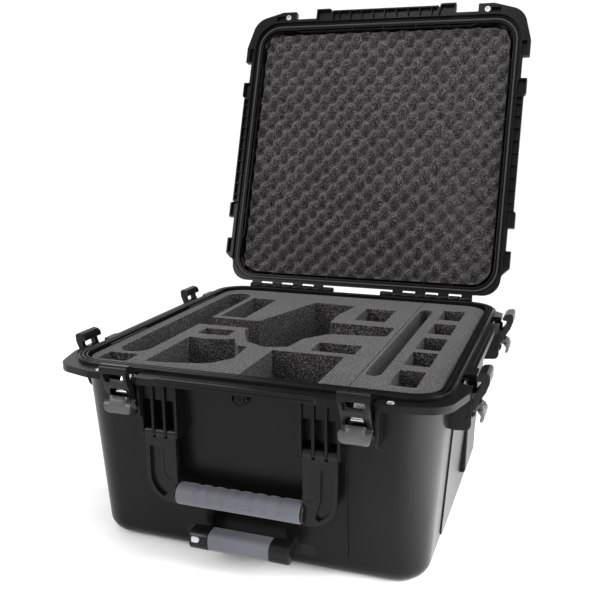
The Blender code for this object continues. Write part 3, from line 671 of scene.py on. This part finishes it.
def lid_rim():
    """The lid's sealing rim: concentric ridges with the seal's groove between them."""
    low = RIM_Z + 0.0005
    profile = [
        (0.3085, 0.3520), (0.3085, low + 0.0022), (0.3092, low + 0.0002), (0.3098, low), (0.3112, low),
        (0.3116, low + 0.0016), (0.3122, low + 0.0016), (0.3126, low), (0.3133, low), (0.3137, low + 0.0050),
        (0.3203, low + 0.0050), (0.3207, low), (0.3222, low), (0.3226, low + 0.0020), (0.3237, low + 0.0020),
        (0.3241, low), (0.3258, low), (0.3265, low + 0.0008), (0.3265, 0.3440), (0.3180, 0.3500),
    ]
    piece = swept("lid_rim", profile, 0.2640)
    dress(opened(soften(piece, 0, angle=40)), "shell_plastic", "lid", "lid_shell")


def lid_gasket():
    """The seal in its groove, with a rounded face."""
    low, high = RIM_Z + 0.0008, RIM_Z + 0.0050
    face = [(half, z) for half, z in arc((0.3170, low + 0.0026), 0.0029, 180, 360, 10)]
    ring = swept("lid_gasket_bead", face + [(0.3199, high), (0.3141, high)])
    dress(opened(soften(ring, 0, angle=50)), "seal_rubber", "lid", "lid_gasket")


def lid_flange():
    """The lid's flange: channels open towards the base, with ribs across and stepped blocks at the ends."""
    low, high = LID_FLANGE_Z
    floor = high - 0.0040
    flange = prism_z("lid_flange", flange_outline(0.3330), low, high)
    cutters = [prism_z("rim_room", rounded_square(0.3258, 0.0618), 0.32, 0.345)]
    cutters.append(block("back_room", (-0.4, 0.4), (-0.4, -0.275), (0.32, 0.3365)))
    for side in (-1, 1):
        cutters.append(rod("hole", (side * 0.245, -0.338, 0.335), 0.0068, 0.05, "Z"))
    bars = {"front": (0.3490, 0.3535, 0.3485), "right": (0.3392, 0.3438, 0.3445), "left": (0.3392, 0.3438, 0.3445)}
    ribs = []
    for tag, (bar_out, block_out, lobe_out) in bars.items():
        angle = SIDES[tag]
        cuts = [block("channel", (-0.1285, 0.1285), (0.3272, bar_out), (0.30, floor))]
        for side in (-1, 1):
            cuts.append(block("end", (side * 0.1310, side * 0.1688), (0.3272, block_out), (0.30, floor)))
            cuts.append(block("hook_seat", (side * (LATCH_AT - 0.0255), side * (LATCH_AT + 0.0255)), (0.3290, 0.36),
                              (RIM_Z - 0.0015, 0.36)))
            if tag == "front":
                cuts.append(block("lobe", (side * 0.2545, side * 0.2760), (0.3300, 0.3420), (0.30, floor)))
            else:
                cuts.append(block("lobe", (side * 0.2275, side * 0.2600), (0.3290, 0.3405), (0.30, floor)))
        cutters += [to_side(tool, angle) for tool in cuts]
        for i in range(-4, 5):
            x = 0.0285 * i
            ribs.append(to_side(block("rib", (x - 0.0009, x + 0.0009), (0.3262, bar_out + 0.0008), (low + 0.0012, high - 0.001)),
                                angle))
        for side in (-1, 1):
            slant = prism_z("slant", [(side * 0.1285, -0.3262), (side * 0.1308, -0.3262), (side * 0.1368, -block_out),
                                      (side * 0.1345, -block_out)], low + 0.0008, high - 0.001)
            ribs.append(to_side(slant, angle))
    cut(flange, *cutters)
    whole = gathered("lid_flange_ribbed", [flange] + ribs)
    dress(opened(soften(whole, 0.0006, 2)), "shell_plastic", "lid", "lid_shell")


def lid_rail():
    """The rail beside the lid's foam, on short pins, with slanted ends."""
    parts = []
    low, high = RIM_Z + 0.0012, RIM_Z + 0.0120
    for quarter in range(4):
        half = 0.212
        rail = prism_z("rail", [(-half - 0.012, -0.3086), (-half, -0.3032), (half, -0.3032), (half + 0.012, -0.3086),
                                (half + 0.009, -0.3086), (half - 0.001, -0.3046), (-half + 0.001, -0.3046),
                                (-half - 0.009, -0.3086)], low, high)
        group = [rail]
        for i in range(-2, 3):
            group.append(block("pin", (0.078 * i - 0.0010, 0.078 * i + 0.0010), (0.3040, 0.3100), (low, low + 0.0060)))
        parts += [to_side(part, quarter * math.pi / 2) for part in group]
    dress(opened(soften(gathered("lid_rail", parts), 0.0003)), "shell_plastic", "lid", "lid_shell")


def egg_crate():
    """The lid's egg-crate foam: a wavy face over a thick slab, cut square at the edges."""
    count, half, radius = 250, 0.3020, 0.042
    pitch, swing, middle_z = 0.0445, 0.0110, RIM_Z + 0.0152
    wave = 2 * math.pi / pitch

    def rounded_reach(a):
        """Distance from the centre to the rounded square's edge, against the plain square's."""
        c, s = abs(math.cos(a)), abs(math.sin(a))
        square = 1 / max(c, s)
        core = 1 - radius / half
        corner = radius / half
        if min(c, s) * square <= core:
            return 1.0
        b = core * (c + s)
        return (b + math.sqrt(b * b - (2 * core * core - corner * corner))) / square

    mesh = bmesh.new()
    grid = []
    for i in range(count + 1):
        row = []
        for j in range(count + 1):
            u, v = 2 * i / count - 1, 2 * j / count - 1
            far = max(abs(u), abs(v))
            scale = 1 + (rounded_reach(math.atan2(v, u)) - 1) * far**6 if far > 0 else 1
            x, y = u * half * scale, v * half * scale
            height = math.cos(wave * x) * math.cos(wave * y)
            rough = 0.0007 * math.sin(23 * x + 61 * y) + 0.0005 * math.sin(97 * x - 41 * y)
            edge = 0.0016 * max(0.0, far - 0.985) / 0.015
            row.append(mesh.verts.new((x * (1 - edge * (1 - height)), y * (1 - edge * (1 - height)),
                                       middle_z - swing * height + rough)))
        grid.append(row)
    for i in range(count):
        for j in range(count):
            mesh.faces.new((grid[i][j], grid[i + 1][j], grid[i + 1][j + 1], grid[i][j + 1]))
    border = [grid[i][0] for i in range(count)] + [grid[count][j] for j in range(count)]
    border += [grid[i][count] for i in range(count, 0, -1)] + [grid[0][j] for j in range(count, 0, -1)]
    inner = [mesh.verts.new((v.co.x * 0.975, v.co.y * 0.975, RIM_Z + 0.056)) for v in border]
    for k in range(len(border)):
        n = (k + 1) % len(border)
        mesh.faces.new((border[k], border[n], inner[n], inner[k]))
    mesh.faces.new(inner)
    foam = made("lid_egg_crate_foam", mesh)
    foam.data.shade_smooth()
    foam.data.set_sharp_from_angle(angle=math.radians(62))
    dress(opened(foam), "foam", "lid", "lid_foam")


def lid():
    lid_body()
    lid_rim()
    lid_gasket()
    lid_flange()
    lid_rail()
    egg_crate()
    knuckles = knuckle_group("lid_hinge_knuckles", 1, (0.3350, 0.3395))
    dress(opened(soften(knuckles, 0.0006, 2, 60)), "shell_plastic", "lid", "lid_shell")


def padlock_eyes():
    for side, sign in (("left", -1), ("right", 1)):
        for part, body in (("base", "base"), ("lid", "lid")):
            low, high = (0.3145, 0.3275) if part == "base" else (0.3282, 0.3415)
            profile = [(low, 0.0045), (low, 0.0062), (low + 0.0006, 0.0066), (high - 0.0006, 0.0066), (high, 0.0062),
                       (high, 0.0045), (high - 0.0008, 0.0041), (low + 0.0008, 0.0041)]
            rings = []
            for z, radius in profile:
                angles = [2 * math.pi * k / 28 for k in range(28)]
                rings.append([(sign * 0.245 + radius * math.cos(a), -0.338 + radius * math.sin(a), z) for a in angles])
            eye = soften(loft(f"padlock_eye_{part}_{side}", rings, closed=True), 0)
            if part == "lid":
                opened(eye)
            dress(eye, "steel", body, f"padlock_ring_{part}_{side}")


# ---------- latches ----------


def claw_shape():
    """The hooked arm of a latch: a thick curved plate with a window, open below between two arms."""
    outline = arc(CLAW_PIN, 0.0047, 150, 330, 8)
    outline += [(0.3535, 0.290), (0.3603, 0.304), (0.3675, 0.316), (0.3725, 0.331), (0.3725, 0.340)]
    outline += arc((0.3665, 0.3415), 0.0058, 10, 120, 7)
    outline += [(0.3590, 0.3462), (0.3540, 0.3425), (0.3522, 0.3385), (0.3515, 0.3345), (0.3545, 0.3325)]
    outline += [(0.3578, 0.3330), (0.3600, 0.3310), (0.3595, 0.3260), (0.3545, 0.3165), (0.349, 0.308), (0.3445, 0.298)]
    piece = prism_x("claw", outline, -LATCH_HALF, LATCH_HALF)
    mouth = fillet([(-0.0165, 0.255, 0), (-0.0165, 0.298, 0.004), (-0.0130, 0.3065, 0.006), (0.0130, 0.3065, 0.006),
                    (0.0165, 0.298, 0.004), (0.0165, 0.255, 0)], 0, 5)
    window = fillet([(-0.0145, 0.3195, 0.004), (0.0145, 0.3195, 0.004), (0.0155, 0.3315, 0.004), (-0.0155, 0.3315, 0.004)],
                    0.004, 6)
    middle = Vector((0, 0.3255))
    flare = [[(middle.x + (x - middle.x) * k, -out, middle.y + (z - middle.y) * k) for x, z in window]
             for out, k in ((0.330, 1.0), (0.3615, 1.0), (0.3780, 1.50))]
    cut(piece, prism_y("mouth", mouth, 0.30, 0.40), loft("window", flare),
        rod("hole", (0, -CLAW_PIN[0], CLAW_PIN[1]), 0.0023, 0.08, "X"))
    return piece


def narrowed(thing):
    """Draws the claw's sides in between its hook and its pins."""
    for vertex in thing.data.vertices:
        z = vertex.co.z
        waist = max(0.0, math.sin(math.pi * min(max((z - 0.276) / 0.066, 0), 1)))
        if abs(vertex.co.x) > 0.0175:
            vertex.co.x *= 1 - 0.11 * waist
    return thing


def lever_shape():
    """The finger pad: a curved plate with a rounded lower edge and three short ridges, on its neck."""
    outer = [(0.3575, 0.2925), (0.3597, 0.2930), (0.3632, 0.2900), (0.3657, 0.2850), (0.3665, 0.2780), (0.3660, 0.2710),
             (0.3645, 0.2660), (0.3622, 0.2640)]
    inner = [(0.3600, 0.2645), (0.3605, 0.2700), (0.3614, 0.2780), (0.3598, 0.2855), (0.3566, 0.2915)]
    outline = fillet([(out, z, 0.0012) for out, z in outer + inner], 0.0012, 2)
    low, high = 0.2635, 0.2930
    rings = []
    slices = 24
    for i in range(slices + 1):
        t = 2 * i / slices - 1
        x = 0.0246 * math.sin(math.pi / 2 * t)
        bottom = low + 0.0060 * abs(t) ** 5
        fall = min(max((abs(x) - 0.0110) / 0.0040, 0), 1)
        top = high - 0.0080 * fall * fall * (3 - 2 * fall) - 0.0015 * abs(t) ** 5
        spread = [(out, bottom + (z - low) * (top - bottom) / (high - low)) for out, z in outline]
        rings.append([(x * (1 - 0.10 * max(0, (0.278 - z) / 0.0145)), -out, z) for out, z in spread])
    parts = [loft("pad", rings)]
    for k in range(3):
        top = 0.2905 - 0.0034 * k
        wide = 0.0070 + 0.0012 * k
        points = []
        for i in range(-6, 7):
            t = i / 6
            z = top - 0.0016 * (1 - t * t)
            out = 0.3646 + (0.2880 - z) * 0.22
            points.append((wide * t, -out, z))
        parts.append(tube("ridge", points, 0.0007))
    neck = [(0.3475, 0.2825), (0.3525, 0.2825), (0.3605, 0.279), (0.3618, 0.2855), (0.3580, 0.2925), (0.3475, 0.2875)]
    parts.append(prism_x("neck", neck, -0.0152, 0.0152))
    parts.append(rod("trunnion", (0, -LEVER_PIN[0], LEVER_PIN[1]), 0.0016, 0.050, "X"))
    return gathered("lever", parts)


def link_shape():
    """The bright link: a bar in the lugs, a plate down to the claw and a drum at its end."""
    along = Vector((LINK_END[0] - LINK_PIN[0], LINK_END[1] - LINK_PIN[1]))
    side = Vector((-along.y, along.x)).normalized() * 0.0011
    corners = [Vector(LINK_PIN) + side, Vector(LINK_END) + side, Vector(LINK_END) - side, Vector(LINK_PIN) - side]
    plate = prism_x("plate", [tuple(p) for p in corners], -0.0092, 0.0092)
    parts = [rod("bar", (0, -LINK_PIN[0], LINK_PIN[1]), 0.0019, 0.032, "X"), plate]
    parts.append(rod("drum", (0, -LINK_END[0], LINK_END[1]), 0.0040, 0.0216, "X", 0.0010))
    return gathered("link", parts)


def latches():
    shapes = {
        "claw": (narrowed(claw_shape()), 0.0009, "latch_plastic"),
        "lever": (lever_shape(), 0.0004, "pad_plastic"),
        "link": (link_shape(), 0.0003, "steel"),
    }
    for kind, (shape, ease, slot) in shapes.items():
        soften(shape, ease, 2)
        for side, angle in SIDES.items():
            for end, sign in ENDS.items():
                piece = copied(shape, f"{kind}_{side}_{end}")
                to_side(shifted(piece, sign * LATCH_AT), angle)
                dress(piece, slot, f"{kind}_{side}_{end}", f"latch_{kind}_{side}_{end}")
        bpy.data.objects.remove(shape)


# ---------- carrying handle ----------


def bail_arm(sign):
    outline = [(0.1090, 0.2210, 0.001), (0.1090, 0.162, 0.020), (0.1072, 0.140, 0.004), (0.1072, 0.1085, 0.002)]
    outline += [(x, z, 0) for x, z in arc((0.119, 0.1535), 0.0455, -90, 0, 12)] + [(0.1650, 0.2210, 0.001)]
    arm = prism_y("arm", [(sign * x, z) for x, z in fillet(outline, 0.001, 5)], 0.3292, 0.3400)
    slot = [(0.1385, 0.2060, 0.002), (0.1575, 0.2060, 0.002)] + [(x, z, 0) for x, z in arc((0.119, 0.1535), 0.0385, 0, -66, 10)]
    slot += [(0.1290, 0.1235, 0.002), (0.1372, 0.150, 0.020)]
    recess = prism_y("slot", [(sign * x, z) for x, z in fillet(slot, 0.002, 4)], 0.3335, 0.345)
    inner = [(0.1145, 0.2060), (0.1330, 0.2060), (0.1325, 0.160), (0.1240, 0.150), (0.1145, 0.150)]
    shallow = prism_y("web", [(sign * x, z) for x, z in fillet(inner, 0.003, 4)], 0.3388, 0.345)
    back = prism_y("back", [(sign * x, z) for x, z in fillet([(0.114, 0.205), (0.158, 0.205), (0.158, 0.150), (0.114, 0.150)],
                                                              0.004, 4)], 0.32, 0.3312)
    return cut(arm, recess, shallow, back)


def bail_shape():
    parts = []
    for sign in (-1, 1):
        parts.append(bail_arm(sign))
        for low, high in HANDLE_KNUCKLES:
            collar = arc(HANDLE_PIN, 0.0076, -40, 215, 14) + [(0.3292, 0.2150), (0.3400, 0.2150)]
            parts.append(prism_x("knuckle", collar, *sorted((sign * low, sign * high))))
        ring = rod("collar", (sign * 0.1098, -GRIP_OUT, GRIP_Z), 0.0172, 0.0046, "X", 0.0012, 36)
        parts.append(ring)
    parts.append(rod("core", (0, -GRIP_OUT, GRIP_Z), 0.0052, 0.22, "X"))
    return gathered("bail", parts)


def grip_shape():
    """The rubber sleeve: a thick round bar, with seven finger grooves that end halfway down its front."""
    along, around = 240, 72
    mesh = bmesh.new()
    rows = []
    for i in range(along + 1):
        x = GRIP_HALF * (2 * i / along - 1)
        end = max(0.0, abs(x) - (GRIP_HALF - 0.0012)) / 0.0012
        nearest = min(abs(x - 0.0235 * k) for k in range(-3, 4))
        row = []
        for k in range(around):
            a = 2 * math.pi * k / around
            out, up = math.cos(a), math.sin(a)
            height = math.degrees(math.asin(up)) if out > 0 else 180 - math.degrees(math.asin(up))
            reach = height + 12
            wide = 0.0046
            if reach < 18:
                wide *= math.sqrt(max(0.0, 1 - ((18 - reach) / 18) ** 2)) if reach > 0 else 0
            inside = 1 / (1 + math.exp((nearest - wide) / 0.00035)) if wide > 0 and reach < 195 else 0.0
            radius = GRIP_RADIUS - 0.0013 * inside - 0.0010 * end * end
            row.append(mesh.verts.new((x, -(GRIP_OUT + radius * out), GRIP_Z + radius * up)))
        rows.append(row)
    for low, high in zip(rows, rows[1:]):
        for k in range(around):
            j = (k + 1) % around
            mesh.faces.new((low[k], low[j], high[j], high[k]))
    mesh.faces.new(rows[0])
    mesh.faces.new(rows[-1])
    return made("grip", mesh)


def handle():
    dress(soften(bail_shape(), 0.0008, 2), "latch_plastic", "handle", "handle_bail")
    dress(soften(grip_shape(), 0, angle=50), "grip_rubber", "handle", "handle_grip")


# ---------- pull handle and wheels ----------


def pull_handle():
    low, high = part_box("pull_grip_bar")
    near, far = -high.y, -low.y
    middle_z = (low.z + high.z) / 2
    outline = fillet([(near, low.z, 0.006), (far, low.z, 0.011), (far, high.z, 0.013), (near, high.z, 0.006)], 0.01, 6)
    caps = []
    for side in (-1, 1):
        rings = []
        for x, shrink in ((0.0546, 0.0), (0.0850, 0.0), (0.0872, 0.0008), (0.0880, 0.0024)):
            centre = Vector(((near + far) / 2, middle_z))
            ring = []
            for point in outline:
                offset = Vector(point) - centre
                ring.append(centre + offset * (1 - shrink / offset.length))
            rings.append([(side * x, -p.x, p.y) for p in ring])
        cap = loft("cap", rings)
        cut(cap, rod("socket", (side * 0.075, -0.324, 0.046), 0.0069, 0.028, "Y"))
        caps.append(cap)
    core = fillet([(near + 0.006, low.z + 0.006), (far - 0.006, low.z + 0.006), (far - 0.006, high.z - 0.006),
                   (near + 0.006, high.z - 0.006)], 0.004)
    caps.append(prism_x("core", core, -0.056, 0.056))
    dress(soften(gathered("pull_bar", caps), 0.0007, 3), "latch_plastic", "pull_handle", "pull_grip_bar")
    rings = []
    for x, shrink in ((-0.0540, 0.0012), (-0.0534, 0.0004), (0.0534, 0.0004), (0.0540, 0.0012)):
        centre = Vector(((near + far) / 2, middle_z))
        ring = [centre + (Vector(p) - centre) * (1 - shrink / (Vector(p) - centre).length) for p in outline]
        rings.append([(x, -p.x, p.y) for p in ring])
    sleeve = loft("pull_sleeve", rings)
    dress(soften(sleeve, 0.0004, 2, 50), "grip_rubber", "pull_handle", "pull_grip_sleeve")
    low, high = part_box("pull_button")
    shape = fillet([(low.x, low.z, 0.001), (high.x, low.z, 0.0045), (high.x, high.z, 0.0045), (low.x, high.z, 0.001)], 0.001, 6)
    button = prism_y("pull_button_cap", shape, -high.y, -low.y)
    dress(soften(button, 0.0006, 3), "button_plastic", "pull_button", "pull_button")


def wheels():
    """Solid rubber wheels with a grooved tread and a hub."""
    for name in ("wheel_left", "wheel_right"):
        low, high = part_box(name)
        centre = (low + high) / 2
        half, radius = WHEEL_HALF, (high.z - low.z) / 2
        profile = [(-half + 0.002, AXLE_RADIUS), (-half + 0.002, 0.011), (-half, 0.0125), (-half, 0.0165), (-half + 0.003, 0.0185),
                   (-half + 0.003, radius - 0.006), (-half, radius - 0.0045), (-half + 0.0015, radius - 0.0008),
                   (-half + 0.004, radius), (-0.004, radius), (-0.003, radius - 0.0012)]
        profile += [(-x, r) for x, r in reversed(profile)]
        wheel = turned_profile(f"{name}_tyre", profile, "X", centre, 48)
        dress(soften(wheel, 0, angle=35), "seal_rubber", name, name)
        axle = rod(f"{name}_axle", centre, AXLE_RADIUS, high.x - low.x, "X")
        dress(soften(axle, 0), "steel", name)


# ---------- foam ----------


def pit(outline, floor, radius=0.0035):
    """A pocket straight down from the foam's top, from an outline in millimetres."""
    return prism_z("pit", fillet([(x / 1000, y / 1000) for x, y in outline], radius, 4), floor, 0.40)


def long_slot(xs, ys, radius, floor):
    middle = (xs[0] + xs[1]) / 2
    outline = arc((middle, ys[1] - radius), radius, 0, 180, 20) + arc((middle, ys[0] + radius), radius, 180, 360, 20)
    return prism_z("pit", outline, floor, 0.40)


def main_pockets():
    drone = [(-119, -38), (-84, -108), (-38, -132), (2, -118), (9, -62), (45, -12), (155, 4), (155, 70), (20, 72)]
    drone += [(18, 139), (30, 222), (-64, 229), (-119, 40)]
    radio = [(-199, -113), (-163, -117), (-136, -110), (-111, -101), (-87, -140), (-68, -141), (-62, -212)]
    radio += [(-85, -247), (-100, -256), (-160, -270), (-199, -274)]
    return [
        pit([(-285, -285), (-229, -285), (-229, -244), (-285, -244)], SEAM_Z),
        long_slot((-0.284, -0.226), (-0.232, 0.262), 0.0285, SEAM_Z),
        pit([(-255, -20), (-110, -20), (-110, 36), (-255, 36)], SEAM_Z),
        pit(radio, 0.205),
        pit([(-197, -85), (-134, -85), (-134, -46), (-197, -46)], SEAM_Z),
        pit(drone, 0.10, 0.006),
        pit([(-214, 52), (-158, 52), (-158, 227), (-214, 227)], SEAM_Z),
        pit([(60, 108), (125, 108), (125, 210), (60, 210)], SEAM_Z),
        pit([(47, -127), (129, -127), (129, -72), (47, -72)], SEAM_Z),
        pit([(-17, -291), (117, -291), (117, -146), (-17, -146)], SEAM_Z),
    ]


def foam_block(name, low, high):
    """The base's room between two heights, less the middle foam's seams."""
    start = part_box("foam_bottom_pad")[1].z
    rings = []
    for t in (0, 0.5, 1):
        z = low + (high - low) * t
        rings.append(square_ring(0.2961 + 0.0501 * (z - start), z, 0.2570))
    return loft(name, rings)


def foams():
    main_low, main_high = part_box("foam_main_lower")[0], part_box("foam_main_upper")[1]
    main = foam_block("foam_main", main_low.z, main_high.z)
    cut(main, block("split", (main_high.x, 0.4), (-0.4, 0.4), (0, 0.5)), *main_pockets())
    dress(soften(main, 0.0010, 2), "foam", "base", "foam_main_lower", "foam_main_upper")
    low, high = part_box("foam_battery_lower")[0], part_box("foam_battery_upper")[1]
    battery = foam_block("foam_batteries", low.z, high.z)
    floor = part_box("foam_battery_upper")[0].z
    pockets = [long_slot((0.1745, 0.2005), (-0.228, 0.236), 0.013, floor)]
    for start in (-0.263, -0.155, -0.057, 0.052, 0.165):
        corners = [(223, start * 1000), (267, start * 1000), (267, start * 1000 + 78), (223, start * 1000 + 78)]
        pockets.append(pit(corners, floor, 0.002))
    cut(battery, block("split", (-0.4, low.x), (-0.4, 0.4), (0, 0.5)), *pockets)
    dress(soften(battery, 0.0010, 2), "foam", "base", "foam_battery_lower", "foam_battery_upper")
    low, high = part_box("foam_bottom_pad")
    sections = [(0.266, low.z), (0.280, 0.0128), (0.2895, 0.031), (0.2955, high.z - 0.002), (0.2938, high.z)]
    pad = loft("foam_bottom", [square_ring(half, z, 0.243) for half, z in sections])
    rooms = [block("housing_room", (-0.0905, 0.0905), (-0.209, 0.272), (-0.01, 0.0615)),
             block("scoop_room", (-0.094, 0.094), (0.268, 0.33), (-0.01, 0.12))]
    for side in (-1, 1):
        rooms.append(block("wheel_room", (side * 0.210, side * 0.261), (-0.33, -0.231), (-0.01, 0.11)))
    cut(pad, *rooms)
    dress(soften(pad, 0.0008, 2), "foam", "base", "foam_bottom_pad")


# ---------- carried-over nodes, stage, camera ----------


def finish_cad_nodes():
    """Procedural materials for the CAD nodes that stay in view."""
    slots = {"hinge_pin": "steel", "latch_pin": "steel", "handle_pin": "steel", "pull_tube": "steel",
             "tube_housing": "latch_plastic"}
    for name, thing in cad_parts.items():
        for prefix, slot in slots.items():
            if name.startswith(prefix):
                thing.data.materials.clear()
                thing.data.materials.append(MATERIALS[slot])


def stage():
    mesh = bmesh.new()
    bmesh.ops.create_grid(mesh, x_segments=1, y_segments=1, size=6)
    floor = made("floor", mesh)
    floor.location.z = -0.0004
    material = bpy.data.materials.new("floor_paint")
    material.use_nodes = True
    shader = material.node_tree.nodes["Principled BSDF"]
    shader.inputs["Base Color"].default_value = (0.94, 0.94, 0.94, 1)
    shader.inputs["Roughness"].default_value = 0.6
    floor.data.materials.append(material)


def light(name, place, target, size, power):
    lamp = bpy.data.lights.new(name, "AREA")
    lamp.shape = "RECTANGLE"
    lamp.size, lamp.size_y = size
    lamp.energy = power
    thing = bpy.data.objects.new(name, lamp)
    thing.location = place
    thing.rotation_euler = (Vector(target) - Vector(place)).to_track_quat("-Z", "Y").to_euler()
    bpy.context.scene.collection.objects.link(thing)


def lights_and_world():
    scene = bpy.context.scene
    scene.view_settings.view_transform = "Standard"
    world = bpy.data.worlds.new("studio")
    world.use_nodes = True
    background = world.node_tree.nodes["Background"]
    background.inputs["Color"].default_value = (1, 1, 1, 1)
    background.inputs["Strength"].default_value = 1.05
    scene.world = world
    light("overhead", (0.1, -0.1, 2.2), (0, 0, 0.3), (1.6, 0.10), 16)
    light("front_left", (-1.8, -2.0, 1.6), (0, 0, 0.35), (1.2, 1.2), 42)
    light("right_side", (2.4, -0.4, 1.2), (0.2, 0, 0.3), (1.0, 1.8), 22)
    light("right_floor", (0.90, -0.40, 0.33), (0.90, -0.39, 0), (0.7, 0.9), 27)


def camera():
    """A camera in front and a little to the right, above the rim."""
    data = bpy.data.cameras.new("camera")
    data.sensor_width = 36
    data.lens = 46.575
    data.shift_x, data.shift_y = -0.0316, 0.0183
    thing = bpy.data.objects.new("camera", data)
    azimuth, elevation, roll = math.radians(18.69), math.radians(13.74), math.radians(0.05)
    thing.location = (0.4864, -1.374, 0.7223)
    thing.rotation_euler = (math.pi / 2 - elevation, roll, azimuth)
    bpy.context.scene.collection.objects.link(thing)
    bpy.context.scene.camera = thing


camera()
base_shell()
pressure_valve()
lid()
padlock_eyes()
latches()
handle()
pull_handle()
wheels()
foams()
finish_cad_nodes()
stage()
lights_and_world()
